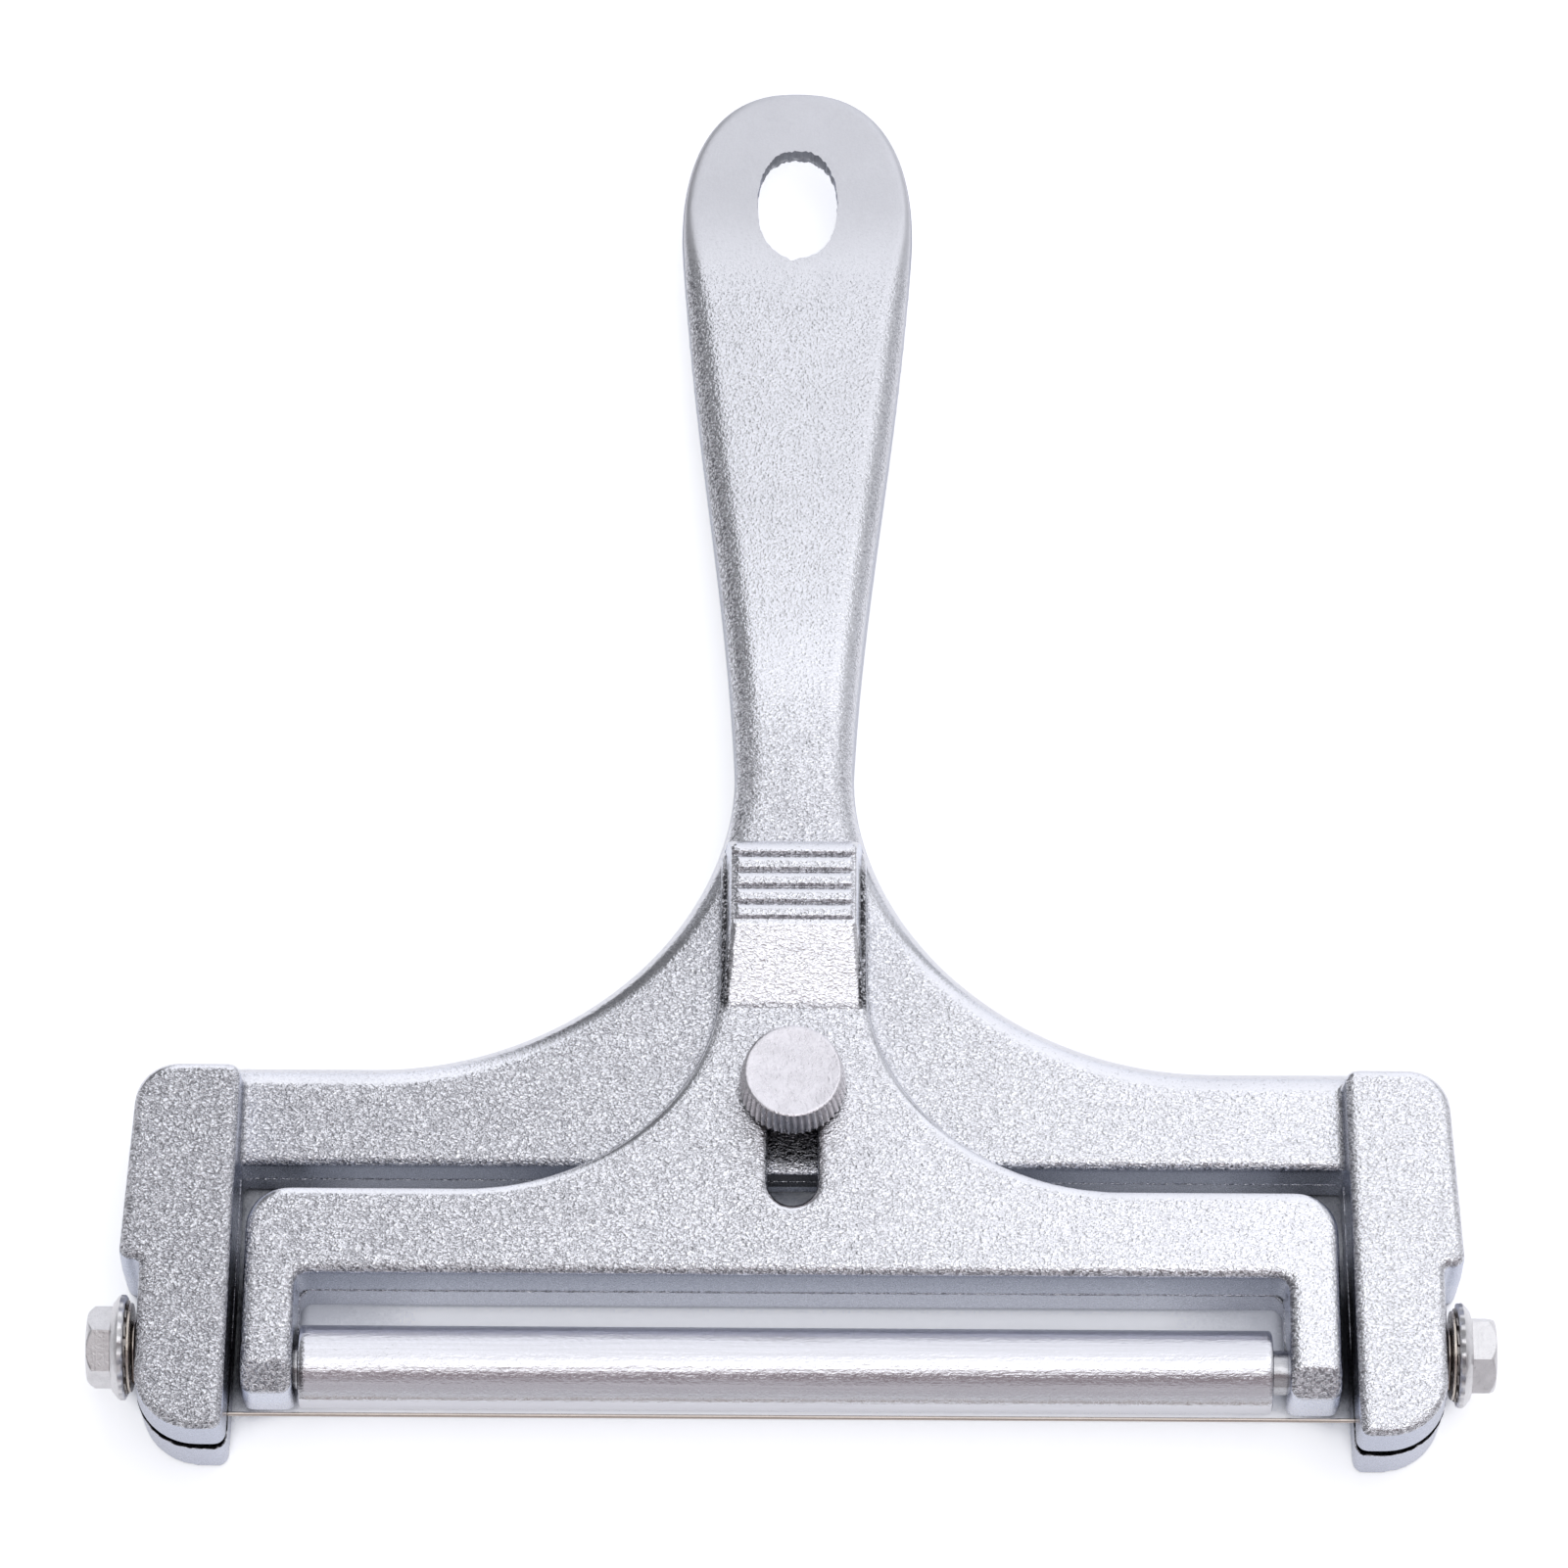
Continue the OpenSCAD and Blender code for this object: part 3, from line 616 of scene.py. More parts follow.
def tab():
    foot = TAB_FOOT_W / 2
    low = PLATE_BACK_Z + 0.5
    end = STRIP_RISE - LEDGE
    rings = []
    for y in [*np.linspace(RAMP_Y - 0.5, end - 0.02, TAB_ROWS), end]:
        z = max(tab_height(y), low + 1) if y < end else low + 1
        half = foot + (TAB_CREST_W / 2 - foot) * max(0, z - FACE_Z) / (CREST_Z - FACE_Z)
        edge_z = z - groove(half, y)
        edge_r = min(GUIDE_EDGE_R if edge_z == z else RIB_EDGE_R, (z - low) / 4)
        right = corner(np.array([foot, low]), np.array([half, edge_z]), np.array([-half, edge_z]), edge_r, 6)
        crest_x = right[-1][0] - 0.2
        columns = [np.array([x, z - groove(x, y)]) for x in np.linspace(crest_x, -crest_x, TAB_COLUMNS)]
        left = [np.array([-p[0], p[1]]) for p in reversed(right)]
        section = [np.array([-foot, low]), np.array([foot, low])] + right + columns + left
        rings.append(np.array([[p[0], y, p[1]] for p in section]))
    return loft("tab", rings)


def slot_outline(margin):
    half = SLOT_W / 2 + margin
    t = np.radians(np.linspace(0, 180, 25))
    top = np.stack([half * np.cos(t), SLOT_HIGH + half * np.sin(t)], axis=1)
    low = np.stack([-half * np.cos(t), -SLOT_LOW - half * np.sin(t)], axis=1)
    return np.concatenate([top, low])


def slot_cutters():
    cutters = [prism("slot", slot_outline(0), TONGUE_Z - 1, FACE_Z + 1)]
    for depth, margin in RIM_STEPS:
        cutters.append(prism("rim", slot_outline(margin), FACE_Z - depth, FACE_Z + 1))
    return cutters


def leg_end_cutters():
    """Wedges that slope the legs' ends, front and back"""
    cutters = []
    for level, up in ((FACE_Z, -1), (GUIDE_LIFT, 1)):
        reach = LEG_CHAMFER + 1
        section = [(-1, -1), (reach, -1), (-1, reach)]
        rings = [np.array([[x, -LEG_DROP + a, level + up * b] for a, b in section])
                 for x in (-GUIDE_OUT - 5, GUIDE_OUT + 5)]
        cutters.append(loft("leg_end", rings))
    return cutters


def guide_piece(material):
    body = plate("guide", guide_outline(), GUIDE_LIFT, FACE_Z, GUIDE_EDGE_R, FACE_Z / 2)
    carve(body, block("behind", (-FAR, -RAIL_TOP_DROP, -1), (FAR, FAR, PLATE_BACK_Z)))
    tongue = block("tongue", (-TONGUE_W / 2, -RAIL_TOP_DROP - 0.5, TONGUE_Z),
                   (TONGUE_W / 2, TONGUE_RISE, PLATE_BACK_Z + 0.5))
    for part in (body, tongue):
        carve(part, *slot_cutters())
    carve(body, *leg_end_cutters())
    casting = joined("cast_guide", [body, tongue])
    fuse(casting)
    bore = rod("bore", AXLE_BORE_R, -FAR, FAR)
    carve(casting, lay_along_x(bore, 1, ((AXLE_LOW[1] + AXLE_HIGH[1]) / 2, (AXLE_LOW[2] + AXLE_HIGH[2]) / 2)))
    path = [(-LEG_IN, -LEG_DROP + 3), (-LEG_IN, -RAIL_DROP - 1), (-LEG_IN + 1, -RAIL_DROP),
            (LEG_IN - 1, -RAIL_DROP), (LEG_IN, -RAIL_DROP - 1), (LEG_IN, -LEG_DROP + 3)]
    casting = joined("cast_guide", [casting, tab(), ragged_line("rail_line", path, 0.15, FACE_Z / 2)])
    finish_piece(casting, "guide", "guide_casting", material)


# Turned pieces


def turned(name, profile, segments, shape=None):
    """Solid turned round Z from (radius, height) pairs; shape(radius, height, angle) may change a radius"""
    angles = np.linspace(0, 2 * math.pi, segments, endpoint=False)
    rings = []
    for r, z in profile:
        radii = [shape(r, z, a) if shape else r for a in angles]
        rings.append(np.stack([radii * np.cos(angles), radii * np.sin(angles), np.full(segments, z)], axis=1))
    return loft(name, rings)


def two_ended(end_rows, low, high, middle=()):
    """Profile from (radius, distance from the end) rows, the same at both ends, and heights between them"""
    rows = [(r, low + d) for r, d in end_rows]
    rows += [(end_rows[-1][0], z) for z in middle]
    return rows + [(r, high - d) for r, d in reversed(end_rows)]


def ring_piece(name, outer_r, inner_r, low, high, edge):
    """Flat ring with broken edges"""
    end_rows = [(inner_r, edge), (inner_r + edge, 0), (outer_r - edge, 0), (outer_r, edge)]
    return swept_ring(name, two_ended(end_rows, low, high), SWEPT_SIDES)


def swept_ring(name, section, segments, shape=None):
    """Closed band: a cross-section of (radius, height) pairs swept once round Z"""
    n = len(section)
    verts, faces = [], []
    for j in range(segments):
        a = 2 * math.pi * j / segments
        for r, z in section:
            rr, zz = shape(r, z, a) if shape else (r, z)
            verts.append((rr * math.cos(a), rr * math.sin(a), zz))
        for i in range(n):
            k = (j + 1) % segments
            faces.append([j * n + i, j * n + (i + 1) % n, k * n + (i + 1) % n, k * n + i])
    return make(name, verts, faces)


THREAD_PITCH = 0.8
THREAD_DEPTH = 0.3
SHANK_R = BOLT_HOLE_D / 2 - 0.05
WASHER_HOLE_R = BOLT_HOLE_D / 2 + 0.15


def threaded(r, z, angle):
    """Radius of a screw thread's flank at a place on the shank"""
    turn = (z / THREAD_PITCH - angle / (2 * math.pi)) % 1
    return r - THREAD_DEPTH * (1 - abs(2 * turn - 1)) ** 0.8


def shank_profile(radius, low, high):
    """Rows of a threaded shank with a chamfered tip"""
    rows = [(radius - 0.9, low), (radius - 0.2, low + 0.6)]
    count = int((high - low - 0.6) / (THREAD_PITCH / 8))
    return rows + [(radius, z) for z in np.linspace(low + 0.65, high, count)]


FLUTE_COUNT = 46
FLUTE_DEPTH = 0.38
FLUTE_LEAN = 0.01
KNOB_RIM_H = 0.03
KNOB_FACE_R = 5.375
KNOB_CONE_R = 5.62


def screw_piece(material):
    """Thumb screw: threaded shank and a slightly conical knob with flutes up to its turned face"""
    knob_r = SCREW_HIGH[0]
    low, high = KNOB_WASHER_HIGH[2], SCREW_HIGH[2]
    cone_low = low + 0.5
    cone_high = high - 0.22

    def shape(r, z, angle):
        if z < low:
            return threaded(r, z, angle) if r == SHANK_R else r
        if r < KNOB_FACE_R + 0.05:
            return r
        wave = 0.5 - 0.5 * math.cos((angle + FLUTE_LEAN * (z - low)) * FLUTE_COUNT)
        fade = min(1, (z - low) / 0.3, (high - 0.08 - z) / 0.25)
        return r - FLUTE_DEPTH * wave ** 0.7 * max(0, fade)

    profile = shank_profile(SHANK_R, SCREW_LOW[2], low - 0.02)
    profile += [(SHANK_R + 0.01, low), (knob_r - 0.35, low), (knob_r - 0.05, low + 0.25), (knob_r, cone_low)]
    for k in range(1, KNOB_STEPS + 1):
        t = k / KNOB_STEPS
        profile.append((knob_r - (knob_r - KNOB_CONE_R) * t ** 1.5, cone_low + (cone_high - cone_low) * t))
    face = high - KNOB_RIM_H
    profile += [(KNOB_CONE_R - 0.08, high - 0.1), (KNOB_FACE_R, face), (KNOB_FACE_R - 0.12, high),
                (KNOB_FACE_R - 0.35, face), (3, face), (1, face)]
    piece = turned("knurled_screw", profile, FLUTE_COUNT * 8, shape)
    finish_piece(piece, "screw", "thumb_screw", material, 50)


def knob_washer_piece(material):
    low, high = KNOB_WASHER_LOW[2], KNOB_WASHER_HIGH[2]
    piece = ring_piece("screw_washer_ring", KNOB_WASHER_HIGH[0], WASHER_HOLE_R, low, high, 0.1)
    finish_piece(piece, "screw_washer", "thumb_washer", material)


ROLLER_PLAY = 0.08
AXLE_CHAMFER = 0.5


def roller_pieces(roller_material, axle_material):
    centre = ((ROLLER_LOW[1] + ROLLER_HIGH[1]) / 2, (ROLLER_LOW[2] + ROLLER_HIGH[2]) / 2)
    outer = (ROLLER_HIGH[1] - ROLLER_LOW[1]) / 2
    axle_r = (AXLE_HIGH[1] - AXLE_LOW[1]) / 2
    inner = axle_r + ROLLER_PLAY
    low, high = ROLLER_LOW[0], ROLLER_HIGH[0]
    end_rows = [(inner, 0.2), (inner + 0.2, 0), (outer - 0.35, 0), (outer - 0.1, 0.12), (outer, 0.35)]
    section = two_ended(end_rows, low, high, np.linspace(low + 1, high - 1, 24))
    tube = lay_along_x(swept_ring("roller_sleeve", section, ROLLER_SIDES), 1, centre)
    finish_piece(tube, "roller", "roller_tube", roller_material)
    low, high = AXLE_LOW[0], AXLE_HIGH[0]
    end_rows = [(axle_r - AXLE_CHAMFER, 0), (axle_r, AXLE_CHAMFER)]
    profile = two_ended(end_rows, low, high, np.linspace(low + 2, high - 2, 12))
    axle = lay_along_x(turned("axle_rod", profile, AXLE_SIDES), 1, centre)
    finish_piece(axle, "guide", "roller_axle", axle_material)


HEX_AF = 8
HEX_CORNER_R = HEX_AF / 2 / math.cos(math.pi / 6)
FLANGE_T = 1.6
SERRATIONS = 22
SERRATION_DEPTH = 0.28
HEX_CHAMFER = 0.75
HEX_TURN = math.radians(-5)


def bolt_piece(side, name):
    """Flange bolt: threaded shank, coned flange with a serrated underside, hexagon with a chamfered end"""
    flange_r = (BOLT_HIGH[1] - BOLT_LOW[1]) / 2
    flange_x = TOOTH_HIGH[0]
    hex_x = flange_x + FLANGE_T
    end_x = BOLT_HIGH[0]
    hex_turn = HEX_TURN if side > 0 else math.pi / 6 - HEX_TURN

    def shape(r, x, angle):
        if x < flange_x:
            return threaded(r, x, angle) if r == SHANK_R else r
        if x < flange_x + 0.2 and r > flange_r - 0.4:
            return r - SERRATION_DEPTH * (0.5 + 0.5 * math.sin(angle * SERRATIONS))
        if x < hex_x:
            return r
        turn = (angle - hex_turn) % (math.pi / 3) - math.pi / 6
        return min(r, HEX_AF / 2 / math.cos(turn))

    profile = shank_profile(SHANK_R, BOLT_LOW[0], flange_x - 0.02)
    profile += [(SHANK_R + 0.01, flange_x), (flange_r - 0.15, flange_x), (flange_r, flange_x + 0.15),
                (flange_r, flange_x + 0.6), (flange_r - 0.15, flange_x + 0.85),
                (HEX_CORNER_R + 0.4, hex_x - 0.15), (HEX_CORNER_R, hex_x)]
    profile += [(HEX_CORNER_R, x) for x in np.linspace(hex_x + 0.1, end_x - HEX_CHAMFER, 8)]
    for k in range(1, HEX_STEPS + 1):
        t = k / HEX_STEPS
        r = HEX_CORNER_R - (HEX_CORNER_R - HEX_AF / 2 + 0.15) * t
        profile.append((r, end_x - HEX_CHAMFER * (1 - t) ** 1.3 - 0.02))
    profile += [(HEX_AF / 2 - 0.35, end_x), (1.5, end_x - 0.05)]
    return lay_along_x(turned(name, profile, BOLT_SIDES, shape), side, (-BOLT_DROP, WIRE_Z))


TOOTH_COUNT = 14
TOOTH_LEN = 0.7
TOOTH_SHARE = 0.6


def tooth_washer(side, name):
    outer = (TOOTH_HIGH[1] - TOOTH_LOW[1]) / 2
    low, high = TOOTH_LOW[0], TOOTH_HIGH[0]
    middle = (low + high) / 2
    thick = (high - low) / 2

    def shape(r, x, angle):
        turn = angle * TOOTH_COUNT / (2 * math.pi) % 1
        wide = abs(turn - 0.5) < TOOTH_SHARE / 2
        if r < outer - 0.75:
            return r, x
        if not wide:
            return r - TOOTH_LEN, x
        return r, middle + (x - middle) * 0.6 + (turn - 0.5) * thick * 0.8

    end_rows = [(WASHER_HOLE_R, 0.05), (WASHER_HOLE_R + 0.05, 0), (outer - 0.8, 0), (outer, 0)]
    ring = swept_ring(name, two_ended(end_rows, low, high), TOOTH_COUNT * 16, shape)
    return lay_along_x(ring, side, (-BOLT_DROP, WIRE_Z))


def plain_washer(side, name):
    outer = (PLAIN_HIGH[1] - PLAIN_LOW[1]) / 2
    ring = ring_piece(name, outer, WASHER_HOLE_R, PLAIN_LOW[0], PLAIN_HIGH[0], 0.06)
    return lay_along_x(ring, side, (-BOLT_DROP, WIRE_Z))


def side_pieces(bolt_material, tooth_material, washer_material):
    for side, word in ((-1, "left"), (1, "right")):
        body = word + "_washers"
        bolt = bolt_piece(side, word + "_flange_bolt")
        finish_piece(bolt, word + "_bolt", word + "_tension_bolt", bolt_material, 25)
        teeth = tooth_washer(side, word + "_tooth_washer")
        finish_piece(teeth, body, word + "_lock_washer", tooth_material)
        plain = plain_washer(side, word + "_flat_washer")
        finish_piece(plain, body, word + "_plain_washer", washer_material)


# The wire


def wire_path():
    start = math.degrees(math.acos(1 / EXIT_SHARE))
    t = np.radians(np.linspace(start, LOOP_END, LOOP_STEPS))
    bend = wire_bend(BEND_R)
    loop = np.stack([np.full(len(t), LOOP_X), -BOLT_DROP - LOOP_R * np.cos(t), WIRE_Z + LOOP_R * np.sin(t)],
                    axis=1)
    right = np.concatenate([at_height(bend, WIRE_Z), [[LOOP_X, EXIT_Y, WIRE_Z]], loop])
    left = right[::-1] * np.array([-1, 1, 1])
    return np.concatenate([left, right])


def wire_piece(material):
    path = wire_path()
    tangent = units(np.gradient(path, axis=0))
    side = np.cross(tangent[0], [1, 0, 0])
    rings = []
    for p, t in zip(path, tangent):
        side = unit(side - t * (side @ t))
        other = np.cross(t, side)
        rings.append(np.array([p + WIRE_D / 2 * (math.cos(a) * side + math.sin(a) * other)
                               for a in np.linspace(0, 2 * math.pi, WIRE_SIDES, endpoint=False)]))
    finish_piece(loft("taut_wire", rings), "frame", "cutting_wire", material)


# Materials


class Tree:
    """Short forms for building a node tree, where an input is a value or another node's output"""

    def __init__(self, tree):
        self.tree = tree

    def feed(self, socket, value):
        if isinstance(value, (int, float, tuple, list)):
            socket.default_value = (*value, 1) if socket.type == "RGBA" else value
        else:
            self.tree.links.new(value, socket)

    def add(self, kind, inputs=(), **settings):
        node = self.tree.nodes.new(kind)
        for key, value in settings.items():
            setattr(node, key, value)
        for key, value in dict(inputs).items():
            self.feed(node.inputs[key], value)
        return node

    def math(self, operation, *values):
        return self.add("ShaderNodeMath", enumerate(values), operation=operation).outputs[0]

    def product(self, first, *others):
        for other in others:
            first = self.math("MULTIPLY", first, other)
        return first

    def parts(self, vector):
        """X, Y and Z of a vector"""
        return self.add("ShaderNodeSeparateXYZ", {0: vector}).outputs

    def noise(self, vector, scale, detail, roughness, distortion=0):
        inputs = {"Vector": vector, "Scale": scale, "Detail": detail, "Roughness": roughness,
                  "Distortion": distortion}
        return self.add("ShaderNodeTexNoise", inputs).outputs["Fac"]

    def openness(self, reach, samples):
        """1 where nothing is within reach, in millimetres, and less in corners and gaps"""
        return self.add("ShaderNodeAmbientOcclusion", {"Distance": reach * MM}, samples=samples).outputs["AO"]

    def ramp(self, value, low, high, out_low=0.0, out_high=1.0):
        inputs = {"Value": value, "From Min": low, "From Max": high, "To Min": out_low, "To Max": out_high}
        return self.add("ShaderNodeMapRange", inputs, interpolation_type="SMOOTHSTEP").outputs["Result"]

    def over(self, place, low, high, out_low=0.0, out_high=1.0):
        """Ramp between two places in millimetres"""
        return self.ramp(place, low * MM, high * MM, out_low, out_high)

    def band(self, place, start, full, fade, end):
        """1 between two places in millimetres, with soft ends"""
        return self.product(self.over(place, start, full), self.over(place, fade, end, 1.0, 0.0))

    def mix(self, factor, a, b):
        inputs = {"Factor": factor, "A": a, "B": b}
        return self.add("ShaderNodeMix", inputs, data_type="RGBA").outputs["Result"]

    def scaled(self, color, factor):
        return self.add("ShaderNodeVectorMath", {0: color, "Scale": factor}, operation="SCALE").outputs[0]

    def color_ramp(self, value, stops):
        node = self.add("ShaderNodeValToRGB", {"Fac": value})
        elements = node.color_ramp.elements
        while len(elements) < len(stops):
            elements.new(1)
        for element, (place, color) in zip(elements, stops):
            element.position = place
            element.color = (*color, 1)
        return node.outputs["Color"]

    def mapped(self, vector, scale, turn=0):
        inputs = {"Vector": vector, "Rotation": (0, 0, turn), "Scale": scale}
        return self.add("ShaderNodeMapping", inputs).outputs["Vector"]

    def bump(self, height, distance, strength):
        """Normal of a bumpy surface, with the height of its bumps in millimetres"""
        inputs = {"Height": height, "Distance": distance * MM, "Strength": strength}
        return self.add("ShaderNodeBump", inputs).outputs["Normal"]


class Nodes(Tree):
    """Node tree of a material"""

    def __init__(self, name):
        self.material = bpy.data.materials.new(name)
        self.material.use_nodes = True
        super().__init__(self.material.node_tree)
        self.shader = self.tree.nodes["Principled BSDF"]
        self.place = self.add("ShaderNodeTexCoord").outputs["Object"]

    def metal(self, mean_roughness, color, roughness, normal):
        for key, value in (("Metallic", 1), ("Roughness", mean_roughness), ("Base Color", color),
                           ("Roughness", roughness), ("Normal", normal)):
            self.feed(self.shader.inputs[key], value)
        return self.material


def toned(color, share):
    return tuple(c * share for c in color)


# Colours of the castings: the metal, its grain hollows, and painted shade and painted reflection tones
FACE_METAL = (0.84, 0.845, 0.885)
# Dark grain hollows, deepened by painted shade on the left and on slopes
HOLLOW_AND_PAINTED_SHADE_METAL = (0.12, 0.12, 0.14)
# Painted shade on the hang hole's wall that faces the wire
HOLE_WALL_PAINTED_SHADE = (0.30, 0.31, 0.34)
# Painted shade in corners and in deep gaps
CREVICE_PAINTED_SHADE = (0.16, 0.165, 0.18)
DEEP_GAP_PAINTED_SHADE = (0.13, 0.135, 0.155)
# Painted shade on the channel's floor and on the crossbar's wall under the slot, and a painted reflection
# tone behind that shade
CHANNEL_FLOOR_PAINTED_SHADE = (0.07, 0.07, 0.08)
SLOT_WALL_PAINTED_SHADE = (0.08, 0.08, 0.09)
SLOT_WALL_PAINTED_REFLECTION = (0.82, 0.85, 0.94)
# Painted shade inside the slits
SLIT_PAINTED_SHADE = (0.015, 0.015, 0.018)
# Painted shade specks on the tab's steep sides
TAB_SIDE_PAINTED_SHADE = (0.03, 0.03, 0.035)

# Walls of a casting, in painted reflection tones: tone in front of the parting line, tone behind it, share of
# both between the arms, where painted shade dims them
FRAME_WALL_PAINTED_TONES = ((0.60, 0.63, 0.73), (0.64, 0.665, 0.76), 0.72)
GUIDE_WALL_PAINTED_TONES = ((0.82, 0.85, 0.94), (0.84, 0.86, 0.94), 1.0)

# Grain: noise scales per metre, stretch and turn of the coarse one, and depth in millimetres
GRAIN_SCALE = 2350
HANDLE_GRAIN_SCALE = 2900
FINE_SCALE = 4300
GRAIN_STRETCH = 1.45
GRAIN_TURN = math.radians(32)
GRAIN_DEPTH = 0.24
LEAST_GRAIN = 0.03

# Places in millimetres between which one finish passes into the next, and where painted shade and painted
# reflection tones fade in and out
GROUND_FADE = (101, 120)
HANDLE_FADE = (30, 65)
FINER_FADE = (45, 65)
DIMMER_FADE = (50, 80)
HOLE_FADE = (100, 112)
ARM_FADE = (60, 62)
ARM_GRAIN_FADE = (60, 64)
ARM_END_FADE = (-30, -27)
SLOT_WALL_FADE = (2.4, 2.8)


class Casting(Nodes):
    """Die-cast metal, with the places and masks that its looks share"""

    def __init__(self, name):
        super().__init__(name)
        self.x, self.y, self.z = self.parts(self.place)
        self.off = self.math("ABSOLUTE", self.x)
        self.facing_x, self.facing_y, facing_z = self.parts(self.add("ShaderNodeTexCoord").outputs["Normal"])
        self.facing_z = self.math("ABSOLUTE", facing_z)
        self.flat = self.ramp(self.facing_z, 0.15, 0.5)
        self.ground = self.over(self.y, *GROUND_FADE)
        slanted = self.mapped(self.place, (1, GRAIN_STRETCH, 1), GRAIN_TURN)
        self.coarse = self.mix(self.over(self.y, *FINER_FADE),
                               self.noise(slanted, GRAIN_SCALE, 1.5, 0.6, 0.8),
                               self.noise(self.place, HANDLE_GRAIN_SCALE, 1.5, 0.6, 0.4))


def grain_strength(n, inner, outer):
    """Share of the grain's depth, with one value between the arms and one on them"""
    upper_edge = n.ramp(n.facing_y, 0.04, 0.22, 1.0, 0.1)
    lower_edge = n.ramp(n.facing_y, -0.6, -0.15, 1.7, 1.0)
    left_edge = n.ramp(n.facing_x, -0.6, -0.15, 1.9, 1.0)
    handle = n.over(n.y, *HANDLE_FADE, 1.0, 0.62)
    arm = n.over(n.off, *ARM_GRAIN_FADE, inner, outer)
    across = n.over(n.x, -75, 65, 1.25, 0.66)
    head = n.math("POWER", n.ramp(n.ground, 0, 1, 1.0, 0.15), 2)
    return n.product(n.flat, upper_edge, lower_edge, left_edge, handle, arm, across, head)


def softened_tab(n, strength):
    """Weaker grain on the tab's ramp and grip bars"""
    on_tab = n.product(n.over(n.y, RAMP_Y, RAMP_Y + 1),
                       n.over(n.off, TAB_CREST_W / 2, TAB_FOOT_W / 2, 1.0, 0.0))
    ramp_end = RAMP_Y + RAMP_LEN
    softer = n.over(n.y, ramp_end, ramp_end + 1, 0.36, 0.8)
    return n.mix(on_tab, strength, n.product(strength, softer))


def face_color(n, strength):
    """Broad blotches, pits, and dark hollows where the grain is strong, deepened by painted shade on the left
    and on slopes; dimmer on the handle
    """
    broad = n.ramp(n.noise(n.place, 120, 3, 0.6), 0.35, 0.65)
    tint = n.mix(broad, toned(FACE_METAL, 0.97), FACE_METAL)
    pits = n.math("MAXIMUM", n.ramp(n.coarse, 0.28, 0.40), n.ground)
    tint = n.mix(pits, toned(FACE_METAL, 0.8), tint)
    # Painted shade: hollows darker towards the left, and on slopes, most of all on those that face left
    left_painted_shade = n.product(n.over(n.x, -75, 60, 0.48, 0.14), n.over(n.y, *HANDLE_FADE, 1.0, 0.35))
    slope_painted_shade = n.product(n.ramp(n.facing_z, 0.85, 0.96, 0.62, 0.0), n.ramp(n.facing_x, -0.1, 0.3, 1.0, 0.45))
    hollow_and_painted_shade = n.product(n.ramp(n.coarse, 0.40, 0.56, 1.0, 0.0), n.math("MAXIMUM", left_painted_shade, slope_painted_shade),
                       n.math("MINIMUM", n.product(strength, 1.4), 1))
    return n.scaled(n.mix(hollow_and_painted_shade, tint, HOLLOW_AND_PAINTED_SHADE_METAL), n.over(n.y, *DIMMER_FADE, 1.0, 0.88))


def wall_color(n, partings, walls):
    """Two painted reflection tones on the walls that meet at the parting line, between the arms and on them,
    painted shade that dims them between the arms, and painted shade on the hang hole's wall that faces the
    wire
    """
    line_z = n.over(n.off, *ARM_FADE, partings[0] * MM, partings[1] * MM)
    in_front = n.over(n.math("SUBTRACT", n.z, line_z), -0.05, 0.05)
    tone = n.mix(in_front, walls[1], walls[0])
    # Painted shade: walls dimmer between the arms
    tone = n.scaled(tone, n.over(n.off, *ARM_FADE, walls[2], 1.0))
    # Painted shade on the hang hole's wall that faces the wire
    hole_painted_shade = n.product(n.ramp(n.facing_y, -0.5, -0.2, 1.0, 0.0), n.over(n.y, *HOLE_FADE))
    return n.mix(hole_painted_shade, tone, HOLE_WALL_PAINTED_SHADE)


def with_painted_shade(n, color, spared=None):
    """Painted shade in corners, apart from those that a mask spares, and in deep gaps"""
    open_share = n.ramp(n.openness(1.2, 4), 0.25, 0.85)
    if spared:
        open_share = n.math("MAXIMUM", open_share, spared)
    color = n.mix(open_share, CREVICE_PAINTED_SHADE, color)
    return n.mix(n.ramp(n.openness(5, 8), 0.04, 0.26), DEEP_GAP_PAINTED_SHADE, color)


def channel_painted_shade(n, color):
    """Painted shade on the channel's floor, and painted shade and a painted reflection tone on the crossbar's
    wall as it shows under the guide's slot
    """
    bar_y = -BAR_DROP
    # Painted shade on the channel's floor
    floor = n.product(n.flat, n.over(n.z, CHANNEL_Z, CHANNEL_Z + 0.4, 0.75, 0.0),
                      n.over(n.off, CHANNEL_W / 2 - 0.4, CHANNEL_W / 2 + 0.2, 1.0, 0.0),
                      n.band(n.y, bar_y + 1.3, bar_y + 1.9, CHANNEL_RISE - 0.4, CHANNEL_RISE + 0.2))
    color = n.mix(floor, color, CHANNEL_FLOOR_PAINTED_SHADE)
    # Painted shade on the front of the crossbar's wall under the slot, and a painted reflection tone behind
    # it
    under_slot = n.product(n.over(n.off, SLOT_W / 2 + 0.55, SLOT_W / 2 + 1.15, 1.0, 0.0),
                           n.band(n.y, bar_y - 0.4, bar_y - 0.1, bar_y + 0.5, bar_y + 0.9),
                           n.ramp(n.facing_y, -0.9, -0.7, 1.0, 0.0))
    rear = n.over(n.z, *SLOT_WALL_FADE, 1.0, 0.0)
    return n.mix(under_slot, color, n.mix(rear, SLOT_WALL_PAINTED_SHADE, SLOT_WALL_PAINTED_REFLECTION))


def slit_painted_shade(n, color, arm_ends):
    """Painted shade inside the slits"""
    from_wire = n.math("ABSOLUTE", n.math("SUBTRACT", n.z, WIRE_Z * MM))
    inside = n.over(from_wire, SLIT_W / 2 + 0.02, SLIT_W / 2 + 0.08, 1.0, 0.0)
    return n.mix(n.product(inside, arm_ends), color, SLIT_PAINTED_SHADE)


